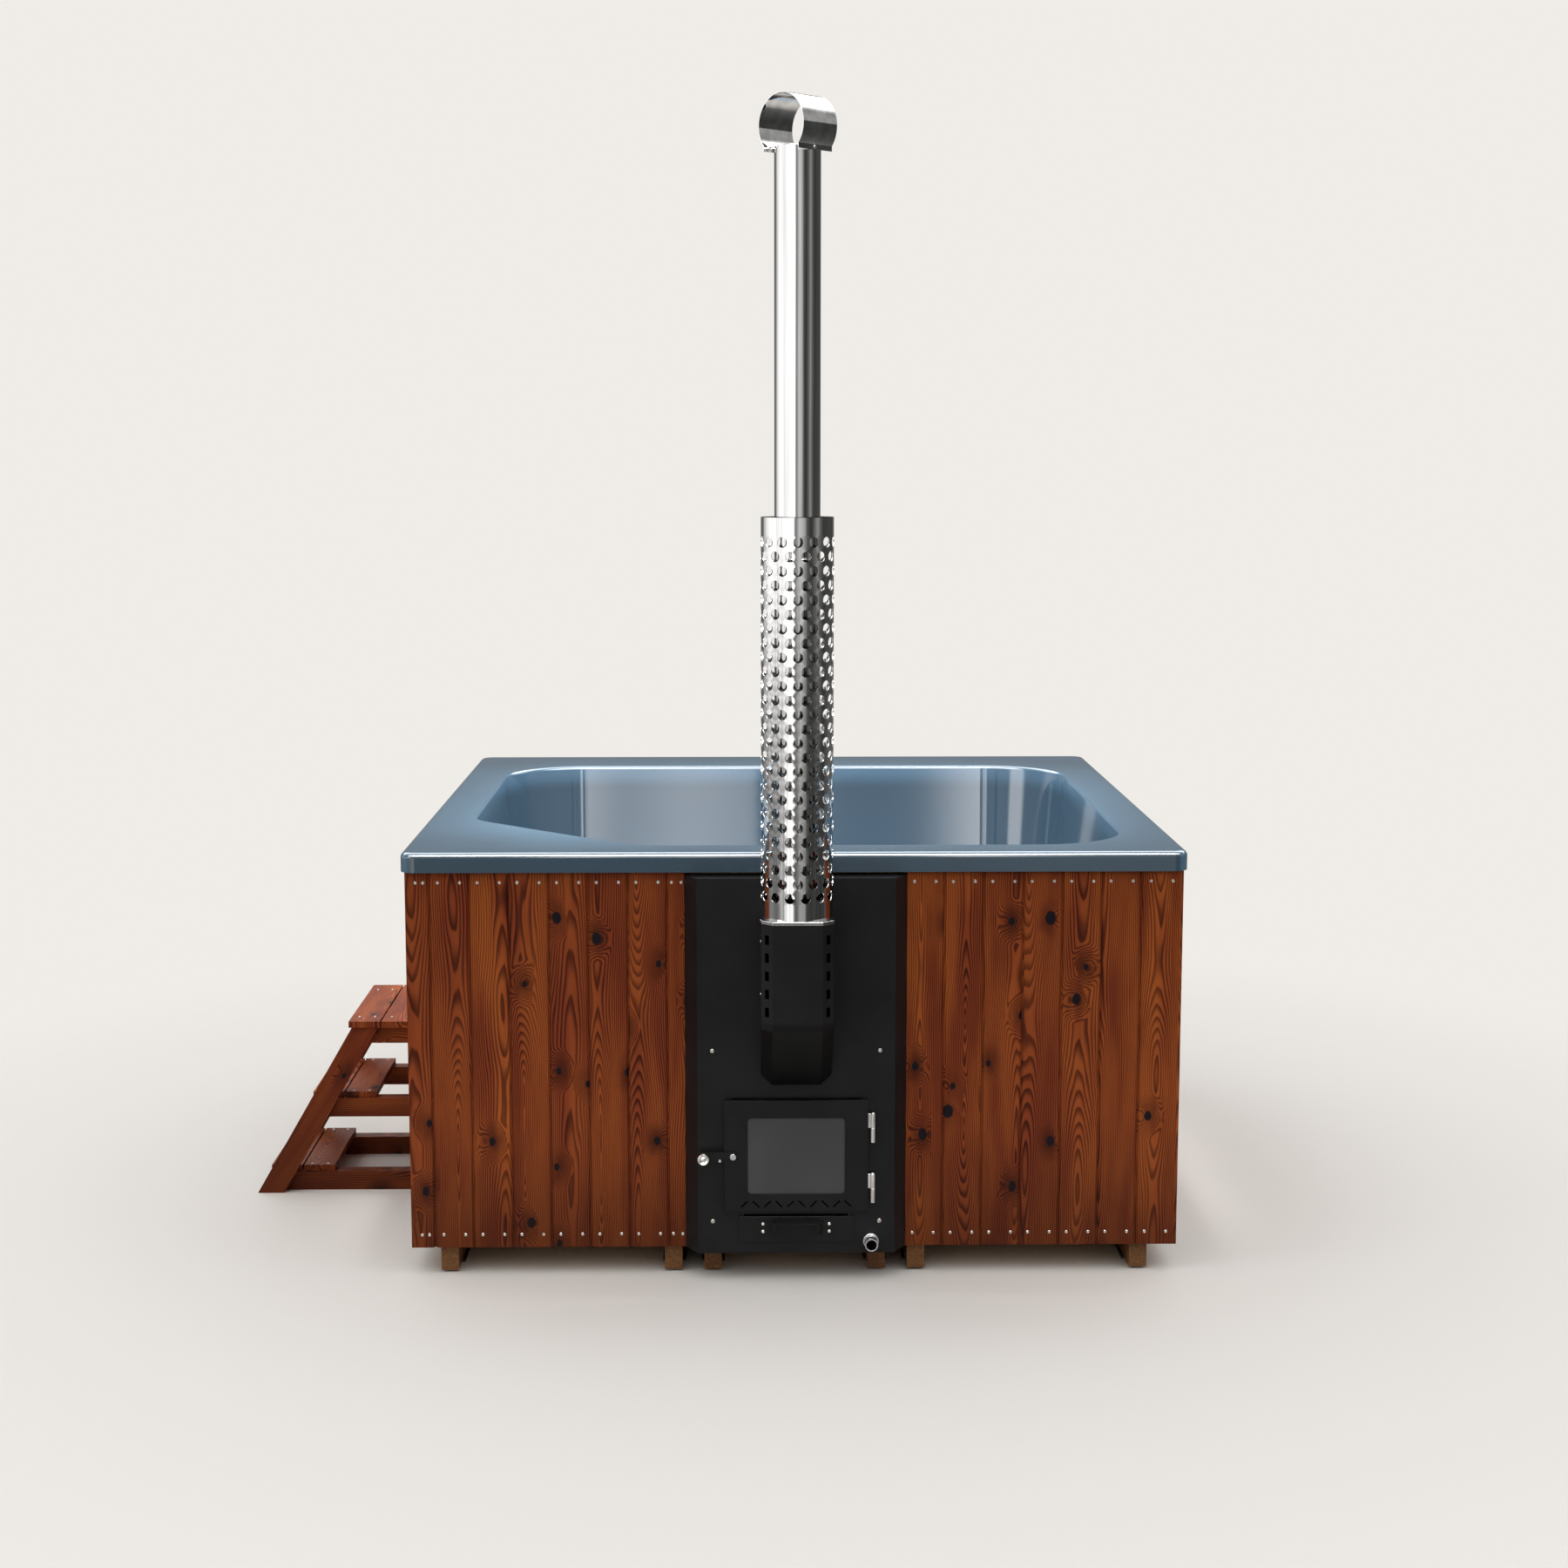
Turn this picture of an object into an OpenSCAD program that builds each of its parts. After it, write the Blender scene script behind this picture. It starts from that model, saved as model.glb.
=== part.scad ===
/* [Tub shell] */
// Outside width and depth of the square rim
rim_w = 2000; // [1900:10:2100]
// Height of the rim above the floor
rim_h = 1103; // [1080:1:1160]
// Height of the lip that hangs round the rim
lip_h = 50; // [40:1:60]
// Thickness of the fibreglass laminate
shell_t = 8; // [6:1:10]
// Plan radius of the rim's corners
rim_corner_r = 40; // [25:1:60]
// Radius of the rim's top edge
rim_edge_r = 14; // [8:1:20]
// Width of the deck at both sides of the basin
side_deck = 128; // [115:1:160]
// Width of the deck in front of the basin
front_deck = 132; // [120:1:160]
// Width of the deck behind the basin
back_deck = 268; // [200:1:300]
// Plan radius of three of the basin's corners
basin_corner_r = 240; // [200:5:280]
// Length along each side that the cut-off front left corner takes
entry_leg = 462; // [380:2:520]
// Plan radius at both ends of the cut-off corner
entry_corner_r = 150; // [120:5:180]
// Slope of the walls from the vertical, in degrees
wall_draft = 5; // [3:0.5:6]
// Height of the seat above the floor
seat_z = 690; // [688:1:720]
// Width of the foot well at seat height
well_w = 960; // [900:10:1000]
// Gap between the water jacket and the foot well's front wall at seat height
well_gap = 54; // [48:1:70]
// Depth of the seat behind the foot well
back_seat = 382; // [340:1:420]
// Plan radius of the foot well's corners
well_corner_r = 120; // [90:5:160]
// Height of the foot well's floor
well_floor_z = 147; // [140:1:170]

/* [Cladding] */
// How far the rim reaches past the planks
rim_over = 12; // [9:1:20]
// Thickness of a plank
plank_t = 19; // [16:1:22]
// Distance from one groove to the next
plank_pitch = 100.4; // [90:0.2:120]
// Width of the groove that shows between two planks
groove_w = 6.8; // [4:0.2:9]
// Bevel on the face edges of a plank
plank_bevel = 2; // [1:0.5:3]
// Thickness of a plank's tongue
tongue_t = 6; // [4:0.5:8]
// Length of tongue that sits in the next plank
tongue_grip = 5; // [3:0.5:7]
// Clearance round a tongue and at a plank's ends
plank_fit = 0.5; // [0.3:0.1:0.8]
// Width of the narrow first plank at the front's left end
first_plank_w = 60.8; // [50:0.2:80]
// Width of the first plank at the right of the stove
stove_side_plank_w = 95; // [80:1:100]
// Diameter of a cladding screw's head
clad_head_d = 8; // [6:0.5:9]
// Depth of a cladding screw's head
clad_head_h = 2.4; // [2:0.1:3]
// Diameter of a cladding screw's shank
clad_shank_d = 4; // [3:0.5:5]
// Length of shank that bites into a rail
clad_bite = 20; // [15:1:30]
// Height of the lower screw row above the planks' feet
low_screw_up = 34; // [25:1:45]
// Depth of the upper screw row below the lip
top_screw_down = 27; // [20:1:35]

/* [Timber base and frame] */
// Width of a base joist
joist_w = 45; // [40:1:60]
// Height of a base joist
joist_h = 65; // [60:1:80]
// How far a joist's end stands back from the cladding's face
joist_setback = 16; // [8:1:18]
// Length of the short middle joist under the foot well
bearer_l = 1200; // [900:10:1400]
// Thickness of the pad under a joist
pad_h = 6; // [4:1:10]
// Width of the pad under a joist
pad_w = 60; // [50:1:70]
// Length of one pad
pad_l = 120; // [80:5:160]
// Thickness of the floor board
board_t = 15; // [12:1:16]
// Depth of frame timber from front to back
frame_t = 45; // [38:1:48]
// Height of the frame's rails
rail_h = 95; // [80:1:110]

/* [Stove front] */
// Sideways place of the stove's centre
stove_x = 2; // [-20:1:20]
// Width of the panel where it meets the wall
panel_w = 565; // [550:1:590]
// Width of the panel's flat front
panel_face_w = 502; // [490:1:520]
// How far the panel stands out from the cladding
panel_out = 57; // [50:1:58]
// Thickness of the panel's sheet
panel_t = 3; // [2:0.5:3]
// Gap between the panel's top and the rim's lip
panel_top_gap = 8; // [5:1:15]
// Sideways place of the panel screws from the stove's centre
panel_screw_x = 213; // [208:1:225]
// Height of the lower panel screws
panel_screw_low_z = 156; // [152:1:165]
// Height of the upper panel screws
panel_screw_high_z = 602; // [590:1:620]
// Head diameter of a panel screw
panel_head_d = 11; // [9:0.5:13]
// Head height of a panel screw
panel_head_h = 3; // [2:0.5:4]
// Shank diameter of a panel screw
panel_shank_d = 6; // [5:0.5:7]
// Outside diameter of the boss behind a panel screw
boss_d = 14; // [11:1:16]

/* [Firebox and water jacket] */
// Thickness of the stove's plate
plate_t = 4; // [3:0.5:4]
// How far the stove's body stands back from the cladding's face
body_setback = 13; // [10:1:14]
// Outside width of the firebox
firebox_w = 400; // [380:1:404]
// Outside depth of the firebox
firebox_d = 411; // [380:1:420]
// Height of the firebox's underside
firebox_z = 184; // [183:1:186]
// Outside height of the firebox
firebox_h = 448; // [445:1:455]
// Outside width of the throat behind the door
throat_w = 300; // [296:1:306]
// Thickness of the throat's plate
throat_t = 3; // [2:0.5:3]
// Height of the throat's underside
throat_z = 190.5; // [190:0.1:191]
// Outside height of the throat
throat_h = 266.5; // [264:0.5:268]
// Outside width of the ash box
ash_box_w = 276; // [272:1:280]
// Depth of the ash box behind the body's front
ash_box_back = 287; // [280:1:300]
// Gap between the panel's sheet and the ash box
ash_box_gap = 4; // [2:1:6]
// Width and depth of the grate's hole in the firebox floor
grate_hole_w = 240; // [200:1:250]
// Width of the rim on which the grate lies
grate_rim = 10; // [6:1:15]
// Thickness of the grate
grate_t = 14; // [10:1:18]
// Number of bars in the grate
grate_bars = 9; // [7:1:11]
// Gap between the jacket's outside and the firebox, at the sides
jacket_side = 50; // [45:1:55]
// Gap between the jacket's outside and the firebox, at the back
jacket_back = 50; // [40:1:55]
// Height of the jacket's underside
jacket_z = 140; // [139:1:142]
// Height of the jacket above the firebox
jacket_over = 36; // [30:1:40]
// Width of a jacket foot
jacket_foot = 30; // [25:1:32]
// Outside diameter of the circulation pipes
circ_d = 60; // [50:1:64]
// Wall of the circulation pipes
circ_wall = 3; // [2:0.5:4]
// Height of the lower circulation pipe
circ_low_z = 250; // [230:1:270]
// Height of the upper circulation pipe
circ_high_z = 600; // [560:1:610]
// Diameter of a circulation grille
grille_d = 110; // [95:1:120]
// Thickness of a circulation grille
grille_t = 3; // [3:0.5:6]

/* [Door] */
// Width of the door
door_w = 366; // [360:1:370]
// Height of the door
door_h = 289; // [287:1:292]
// Height of the door's lower edge
door_z = 186; // [185.5:0.1:186.5]
// Depth of the door's folded edge
door_d = 13; // [12:0.5:14]
// Thickness of the door's sheet
door_t = 3; // [2:0.5:3]
// Gap between the door's folded edge and the panel
door_gap = 1; // [0.5:0.1:1.5]
// Height of the air gap above the door
door_air_gap = 5; // [3:0.5:8]
// Width of the window
window_w = 247; // [240:1:250]
// Height of the window
window_h = 198; // [190:1:202]
// Height of the window's lower edge above the door's
window_up = 45.6; // [44:0.2:47]
// Corner radius of the window
window_r = 10; // [6:1:14]
// Thickness of the glass
glass_t = 4; // [3:0.5:4]
// How far the glass reaches past the window
glass_lap = 8; // [6:0.5:9]
// How far the retaining frame reaches past the window
retainer_lap = 19.5; // [18:0.5:20]
// Thickness of the retaining frame
retainer_t = 2; // [1:0.5:2.5]
// Number of pairs of air slots
slot_pairs = 5; // [4:1:6]
// Distance from one air slot to the next
slot_pitch = 29.4; // [25:0.2:31]
// Length of an air slot
slot_l = 24; // [16:0.5:25]
// Width of an air slot
slot_w = 4; // [3:0.5:5]
// Height of the air slots' centre above the door's lower edge
slot_up = 19; // [18.5:0.1:19.5]
// Diameter of a hinge's barrel
barrel_d = 12; // [10:1:13]
// Diameter of a hinge's pin
hinge_pin_d = 6; // [5:0.5:7]
// Radial clearance of a hinge pin in the moving knuckle
hinge_clear = 0.05; // [0.02:0.01:0.09]
// Height of one hinge
hinge_h = 75.5; // [60:0.5:80]
// Sideways gap from the door's edge to the hinge's axis
hinge_out = 12; // [11:0.5:13]
// Height of the lower hinge's foot above the door's lower edge
low_hinge_up = 22; // [15:1:40]
// Height of the upper hinge's foot above the door's lower edge
high_hinge_up = 180; // [150:1:190]

/* [Latch] */
// Sideways place of the latch bolt, left of the stove's centre
latch_x = 161; // [158:1:164]
// Height of the latch bolt
latch_z = 331; // [320:1:340]
// Distance from the bolt to the knob
latch_arm_l = 75; // [70:1:80]
// Width of the latch arm
latch_arm_w = 22.6; // [20:0.2:24]
// Thickness of the latch arm
latch_arm_t = 4; // [3:0.5:5]
// Gap between the arm and the door
latch_gap = 1; // [0.5:0.1:1.5]
// Head diameter of the latch bolt
latch_bolt_d = 16; // [14:0.5:18]
// Shank diameter of the latch bolt
latch_shank_d = 8; // [6:0.5:9]
// Knob diameter
knob_d = 32; // [28:1:36]
// Knob length without its stem
knob_h = 17; // [12:1:22]
// Knob stem diameter
knob_stem_d = 15; // [12:1:18]
// Knob stem length
knob_stem_h = 12; // [8:1:20]
// Sideways distance from the bolt to the catch stud
catch_in = 33.4; // [32:0.2:35]
// Height of the catch stud below the bolt
catch_down = 10.4; // [10:0.1:10.8]
// Catch stud diameter
catch_d = 7; // [6:0.5:8]
// Radial clearance round the catch stud
catch_clear = 0.7; // [0.6:0.1:1]

/* [Ash drawer] */
// Width of the drawer's front
drawer_w = 294; // [290:1:300]
// Height of the drawer's front
drawer_h = 68; // [66:1:70]
// Height of the drawer front's lower edge
drawer_z = 101.5; // [100:0.5:103]
// Thickness of the drawer front
drawer_t = 3; // [2:0.5:4]
// Gap between the drawer front and the panel
drawer_gap = 1; // [0.5:0.1:2]
// Air gap above the drawer front
drawer_air_gap = 5.5; // [3:0.5:7]
// How far the drawer front laps the sides of its opening
drawer_lap = 8; // [5:1:10]
// Thickness of the tray's sheet
tray_t = 2; // [1:0.5:3]
// Clearance between the tray and the ash box
tray_clear = 4; // [3:1:8]
// Height of the tray's walls
tray_h = 56; // [45:1:60]
// Length of the handle's top between its outer bends
pull_w = 138; // [120:1:160]
// How far the handle stands out
pull_out = 30; // [25:1:35]
// How far each cheek leans in from its bend to its front
pull_lean = 14; // [8:1:18]
// Height of the handle's cheeks at the drawer
pull_h = 34; // [28:1:38]
// How much lower the cheeks are at their front
pull_rise = 10; // [5:1:14]
// Width of each screwed foot of the handle
pull_foot = 26; // [22:1:30]
// Thickness of the handle's strip
pull_t = 2; // [1.5:0.5:3]
// Distance from the drawer front's top to the handle's top
pull_down = 12; // [8:1:16]
// Head diameter of a handle screw
pull_screw_d = 9; // [7:0.5:10]
// Head height of a handle screw
pull_screw_h = 3; // [2:0.5:4]
// Height between the two screws of one foot
pull_screw_gap = 19.5; // [16:0.5:22]

/* [Flue] */
// Outside diameter of the flue pipe
flue_d = 112; // [100:1:116]
// Wall of the flue pipe
flue_wall = 1.5; // [1:0.5:2]
// Distance of the chimney's axis from the cladding
flue_out = 148; // [147:1:158]
// Height of the pipe's top
flue_top_z = 2826; // [2600:1:3000]
// Height at which the sloping pipe passes the panel's face
flue_panel_z = 608.5; // [608:0.5:612]
// Height at which the lower pipe starts
flue_start_z = 774; // [766:1:800]
// Height of the joint between the two pipes
flue_joint_z = 1850; // [1500:10:1900]
// Length of the sleeve inside each pipe joint
sleeve_l = 40; // [30:1:60]
// Width of the flue housing
housing_w = 179; // [176:1:190]
// Width of the housing's front face
housing_face_w = 124; // [110:1:130]
// How far the housing stands out from the cladding
housing_out = 238; // [237:1:250]
// Distance from the rim's top down to the housing's top
housing_down = 144; // [103:1:173]
// Height at which the housing's front starts to slope back
housing_bend_z = 694; // [690:1:702]
// Thickness of the housing's sheet
housing_t = 2; // [1.5:0.5:2]
// Number of vent slots on each bevelled side
vent_count = 5; // [3:1:6]
// Width of a vent slot
vent_w = 14; // [6:1:14]
// Height of the bright collar on the housing
collar_h = 8; // [6:1:12]
// Outside diameter of the heat guard
guard_d = 178; // [170:1:179]
// Wall of the heat guard
guard_wall = 1.5; // [1:0.5:2]
// Height of the heat guard
guard_h = 983; // [900:1:1000]
// Number of hole rows in the heat guard
guard_rows = 26; // [10:1:26]
// Number of holes in each row
guard_holes = 14; // [10:1:14]
// Diameter of a guard hole
guard_hole_d = 25.5; // [20:0.5:27]
// Distance from one hole row to the next
guard_pitch = 34.66; // [33:0.02:36]
// Distance from the guard's top to the first hole row
guard_top_margin = 59; // [40:1:60]
// Width of a strip between the guard and the pipe
spacer_w = 20; // [15:1:30]
// Thickness of a strip between the guard and the pipe
spacer_t = 2; // [1.5:0.5:3]
// Outside diameter of the chimney cap's hoop
cap_d = 149; // [140:1:165]
// Width of the chimney cap's strip
cap_w = 115; // [100:1:130]
// Thickness of the chimney cap's strip
cap_t = 1.5; // [1:0.5:2]
// Turn of the cap's axis from the front, in degrees
cap_turn = 45; // [0:5:90]
// Height of the cap's folded feet
cap_foot_h = 12; // [10:1:16]

/* [Drain] */
// Sideways place of the drain pipe from the stove's centre
drain_x = 191.5; // [188:0.5:195]
// Height of the drain pipe's axis
drain_z = 103.5; // [103:0.5:105]
// Outside diameter of the drain pipe
drain_d = 33.7; // [30:0.1:34]
// Diameter of the drain pipe's free end, over its thread
drain_end_d = 33.25; // [30:0.05:33.7]
// Wall of the drain pipe
drain_wall = 3.2; // [2:0.1:4]
// How far the drain pipe stands out of the panel
drain_out = 40; // [30:1:60]
// Outside diameter of the drain's nut
drain_nut_d = 40; // [38:1:46]
// Thickness of the drain's nut
drain_nut_t = 8; // [5:1:12]
// Distance of the waste from the foot well's front edge
waste_in = 130; // [120:1:200]
// Outside diameter of the waste's cup
waste_d = 60; // [54:1:64]
// Wall of the waste's cup
waste_wall = 4; // [3:0.5:5]
// Diameter of the waste's flange
waste_flange_d = 90; // [80:1:100]
// Thickness of the waste's flange
waste_flange_t = 4; // [3:0.5:6]
// Diameter of the drain plug
plug_d = 45; // [40:1:48]
// Radial clearance of the drain plug
plug_clear = 0.05; // [0.02:0.01:0.1]

/* [Steps] */
// Width of the steps over the two stringers
steps_w = 465; // [420:1:520]
// Sideways centre of the steps along the tub's side
steps_y = -40.5; // [-300:0.5:300]
// Height of one step
step_rise = 216; // [200:1:230]
// Thickness of a stringer
stringer_t = 30; // [26:1:36]
// Width of a stringer along the floor
stringer_w = 75; // [65:1:90]
// Slope of a stringer from the floor, in degrees
stringer_slope = 60; // [56:1:64]
// Distance from the cladding to the stringer's front foot
steps_reach = 537.7; // [530:0.1:560]
// Thickness of a step rail
step_rail_t = 44; // [38:1:48]
// Height of a step rail
step_rail_h = 54; // [45:1:60]
// Width of one tread board
tread_w = 88; // [80:1:92]
// Gap between two tread boards
tread_gap = 5; // [3:1:8]
// Thickness of a tread board
tread_t = 18; // [15:1:22]
// How far the top tread reaches past each stringer
top_tread_over = 11; // [0:1:20]
// Diameter of a step screw's head
step_screw_d = 8; // [6:1:9]
// Length of a step screw
step_screw_l = 45; // [35:1:50]

/* [Hidden] */
$fn = 48;
hull_fn = 32;
sixth_turn = 60;
over = 1;

// Places worked out from the tub's own sizes
clad_w = rim_w - 2 * rim_over;
wall_y = clad_w / 2;
timber_out = wall_y - plank_t;
timber_in = timber_out - frame_t;
joist_top = pad_h + joist_h;
board_top = joist_top + board_t;
lip_z = rim_h - lip_h;
deck_under = rim_h - shell_t;
top_rail_z = deck_under - rail_h;
clad_z = joist_top + plank_fit;
clad_top = lip_z - plank_fit;
screw_end = timber_out - clad_head_d;
side_shift = 3 * clad_shank_d;
low_screw_z = joist_top + low_screw_up;
high_screw_z = lip_z - top_screw_down;
draft = tan(wall_draft);
basin_x = rim_w / 2 - side_deck;
basin_front = front_deck - rim_w / 2;
basin_back = rim_w / 2 - back_deck;
entry_shift = entry_corner_r * (sqrt(2) - 1);
basin_corners = [
    [basin_x - basin_corner_r, basin_front + basin_corner_r, basin_corner_r],
    [basin_x - basin_corner_r, basin_back - basin_corner_r, basin_corner_r],
    [basin_corner_r - basin_x, basin_back - basin_corner_r, basin_corner_r],
    [entry_corner_r - basin_x, basin_front + entry_leg + entry_shift, entry_corner_r],
    [entry_leg + entry_shift - basin_x, basin_front + entry_corner_r, entry_corner_r]];
well_back = basin_back - back_seat;
well_x = well_w / 2;
pad_shares = [-0.42, 0, 0.42];
joist_shares = [-0.4515, -0.1588, -0.1072, 0.1072, 0.1588, 0.4515];
post_shares = [-0.17, 0.17];
back_post_shares = [-0.3, -0.1, 0.1, 0.3];
screw_share = 0.3;
head_share = 0.25;

// Places worked out from the stove's own sizes, from the cladding's front face
panel_top = lip_z - panel_top_gap;
panel_in = panel_t - panel_out;
body_y = body_setback;
firebox_back = body_y + firebox_d;
firebox_top = firebox_z + firebox_h;
firebox_in = body_y + plate_t;
jacket_w = firebox_w + 2 * jacket_side;
jacket_end = firebox_back + jacket_back;
jacket_top = firebox_top + jacket_over;
jacket_rear = jacket_end - wall_y;
well_front = jacket_rear + well_gap;
ash_y = panel_in + ash_box_gap;
ash_end = body_y + ash_box_back;
door_back = -panel_out - door_gap;
door_face = door_back - door_d;
door_inner = door_face + door_t;
seal_t = 6;
throat_y = door_inner + seal_t;
throat_top = throat_z + throat_h;
door_top = door_z + door_h;
window_z = door_z + window_up;
glass_back = door_inner + glass_t;
seal_over = 3;
seal_under = 1.2;
seal_w = 9;
seal_low_w = 4.7;
retainer_corner = 6;
retainer_screw_d = 5;
retainer_screw_h = 2;
hinge_x = door_w / 2 + hinge_out;
hinge_y = door_face + over;
knuckle_gap = 0.4;
knuckle_h = (hinge_h - knuckle_gap) / 2;
leaf_t = 3;
pin_head_h = 2;
arm_back = door_face - latch_gap;
arm_face = arm_back - latch_arm_t;
bolt_head_h = 4;
catch_past = 4;
opening_low = 2;
opening_in = 18;
drawer_back = -panel_out - drawer_gap;
drawer_face = drawer_back - drawer_t;
drawer_top = drawer_z + drawer_h;
drawer_hole_w = drawer_w - 2 * drawer_lap;
drawer_hole_z = drawer_z + drawer_lap / 2;
tray_w = ash_box_w - 2 * plate_t - 2 * tray_clear;
tray_z = drawer_hole_z + over;
tray_l = ash_end - plate_t - tray_clear - drawer_back;
runner_w = 30;
pull_top = drawer_top - pull_down;
flue_r = flue_d / 2;
flue_bore = flue_r - flue_wall;
sleeve_clear = 0.05;
flue_meet_z = flue_panel_z + flue_out - panel_out;
flue_hole_w = 124;
flue_hole_low = 84;
flue_hole_high = 86;
bevel = (housing_w - housing_face_w) / 2;
slope_place = (housing_bend_z - housing_out) / sqrt(2);
housing_top_z = rim_h - housing_down;
housing_run = housing_top_z - housing_bend_z;
vent_pitch = 0.171 * housing_run;
vent_down = 0.144 * housing_run;
vent_h = 0.09 * housing_run;
collar_z = housing_top_z + collar_h;
guard_top = collar_z + guard_h;
housing_screw_shares = [0.05, 0.25, 0.76];
housing_head_d = 8;
housing_head_h = 2;
housing_screw_in = 40;
spacer_in = 45;
foot_half = flue_r + cap_t / 4;
cap_z = flue_top_z + sqrt(pow(cap_d / 2, 2) - pow(foot_half + cap_t, 2));
rivet_d = 8;
rivet_h = 2;
drain_r = drain_d / 2;
drain_bore = drain_r - drain_wall;
waste_y = well_front + waste_in;
waste_low = board_top + over;
plug_h = 14;
plug_cap_h = 4;
plug_cap_d = 54;
plug_ring_d = 24;
plug_ring_t = 3;
channel_clear = 2;

// Places worked out from the steps' own sizes
lean = 1 / tan(stringer_slope);
steps_foot = -wall_y - steps_reach;
steps_top = 2 * step_rise + step_rail_h;
step_rail_y = steps_w / 2 - stringer_t - step_rail_t;
tread_in = 7;
tread_front_in = 34.7;
top_tread_in = 8.3;
post_w = 45;

// One plan outline of the basin, widened by grow, from height low to height high
module basin_form(grow, low, high) {
    hull()
        for (c = basin_corners)
            translate([c[0], c[1], low])
                cylinder(h = high - low, r1 = c[2] + grow - (rim_h - low) * draft,
                    r2 = c[2] + grow - (rim_h - high) * draft, $fn = hull_fn);
}

// The foot well's form, widened by grow
module well_form(grow, low, high) {
    hull()
        for (x = [well_corner_r - well_x, well_x - well_corner_r])
            for (y = [well_front + well_corner_r, well_back - well_corner_r])
                translate([x, y, low])
                    cylinder(h = high - low, r1 = well_corner_r + grow - (seat_z - low) * draft,
                        r2 = well_corner_r + grow - (seat_z - high) * draft, $fn = hull_fn);
}

// The rim as a solid block with rounded corners and a rounded top edge
module rim_block() {
    place = rim_w / 2 - rim_corner_r;
    hull()
        for (x = [-place, place])
            for (y = [-place, place])
                translate([x, y, lip_z]) {
                    cylinder(h = lip_h - rim_edge_r, r = rim_corner_r, $fn = hull_fn);
                    translate([0, 0, lip_h - rim_edge_r])
                        rotate_extrude($fn = hull_fn)
                            translate([rim_corner_r - rim_edge_r, 0])
                                circle(r = rim_edge_r, $fn = hull_fn);
                }
}

// A square plate with round corners, made of plain boxes and cylinders
module round_plate(half, r, h) {
    translate([-half, r - half, 0])
        cube([2 * half, 2 * (half - r), h]);
    translate([r - half, -half, 0])
        cube([2 * (half - r), 2 * half, h]);
    for (x = [r - half, half - r])
        for (y = [r - half, half - r])
            translate([x, y, 0])
                cylinder(h = h, r = r);
}

// The inner face of the foot well's front wall at a height
function well_wall_y(z) = well_front + (seat_z - z) * draft;

// A box from its lowest and highest corners
module block(low, high) {
    translate(low)
        cube(high - low);
}

// A box that is centred sideways on the stove
module wide_block(w, y0, y1, z0, z1) {
    block([-w / 2, y0, z0], [w / 2, y1, z1]);
}

// A round bar that runs into the tub from y0 to y1
module bar_y(d, x, z, y0, y1) {
    translate([x, y0, z])
        rotate([-90, 0, 0])
            cylinder(h = y1 - y0, d = d);
}

// Puts stove pieces at the front wall
module at_stove() {
    translate([stove_x, -wall_y, 0])
        children();
}

module floor_pad(x, y) {
    block([x - pad_w / 2, y - pad_l / 2, 0], [x + pad_w / 2, y + pad_l / 2, pad_h]);
}

module joist(x, l) {
    block([x - joist_w / 2, -l / 2, pad_h], [x + joist_w / 2, l / 2, joist_top]);
}

module joist_pads() {
    color([0.09, 0.09, 0.09])
        for (share = pad_shares) {
            for (x = joist_shares * clad_w)
                floor_pad(x, share * clad_w);
            floor_pad(0, share * bearer_l);
        }
}

module base_joists() {
    color([0.45, 0.29, 0.15]) {
        for (x = joist_shares * clad_w)
            joist(x, clad_w - 2 * joist_setback);
        joist(0, bearer_l);
    }
}

module floor_board() {
    color([0.72, 0.55, 0.36]) {
        block([-timber_in, -timber_in, joist_top], [timber_in, timber_in, board_top]);
        block([stove_x - panel_w / 2 + panel_t, -timber_out, joist_top],
            [stove_x + panel_w / 2 - panel_t, -timber_in, board_top]);
    }
}

module floor_insulation() {
    shrink = (seat_z - well_floor_z) * draft;
    color([0.85, 0.80, 0.62])
        difference() {
            block([shrink - well_x, well_front + shrink, board_top],
                [well_x - shrink, well_back - shrink, well_floor_z - shell_t]);
            translate([stove_x + drain_x, waste_y, board_top - over])
                cylinder(h = well_floor_z, d = waste_d + 2 * channel_clear);
            block([stove_x + drain_x - drain_r - channel_clear, well_front, board_top - over],
                [stove_x + drain_x + drain_r + channel_clear, waste_y, well_floor_z]);
        }
}

// Where the grooves between planks lie, from the first one to the wall's end
function grooves(first, x1) = [for (g = first; g < x1 - plank_pitch * head_share; g = g + plank_pitch) g];

// The face of each plank in a run, as pairs of its two edges
function plank_faces(x0, x1, first) =
    let (g = grooves(first, x1))
    [for (i = [0:len(g)])
        [i == 0 ? x0 : g[i - 1] + groove_w / 2, i == len(g) ? x1 : g[i] - groove_w / 2]];

// One plank on end, with its tongue at the right unless it is the last
module plank(face, first, last) {
    a = face[0];
    b = face[1];
    t0 = (plank_t - tongue_t) / 2;
    t1 = t0 + tongue_t;
    tip = b + groove_w + tongue_grip - plank_fit;
    right = last ? [[b, 0], [b, plank_t]] :
        [[b - plank_bevel, 0], [b, plank_bevel], [b, t0], [tip, t0], [tip, t1], [b, t1], [b, plank_t]];
    left = first ? [[a, plank_t], [a, 0]] :
        [[a, plank_t], [a, t1 + plank_fit], [a + tongue_grip, t1 + plank_fit],
            [a + tongue_grip, t0 - plank_fit], [a, t0 - plank_fit], [a, plank_bevel], [a + plank_bevel, 0]];
    translate([0, -wall_y, clad_z])
        linear_extrude(height = clad_top - clad_z)
            polygon(concat(right, left));
}

module plank_run(run) {
    faces = plank_faces(run[0], run[1], run[2]);
    for (i = [0:len(faces) - 1])
        plank(faces[i], i == 0, i == len(faces) - 1);
}

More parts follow.
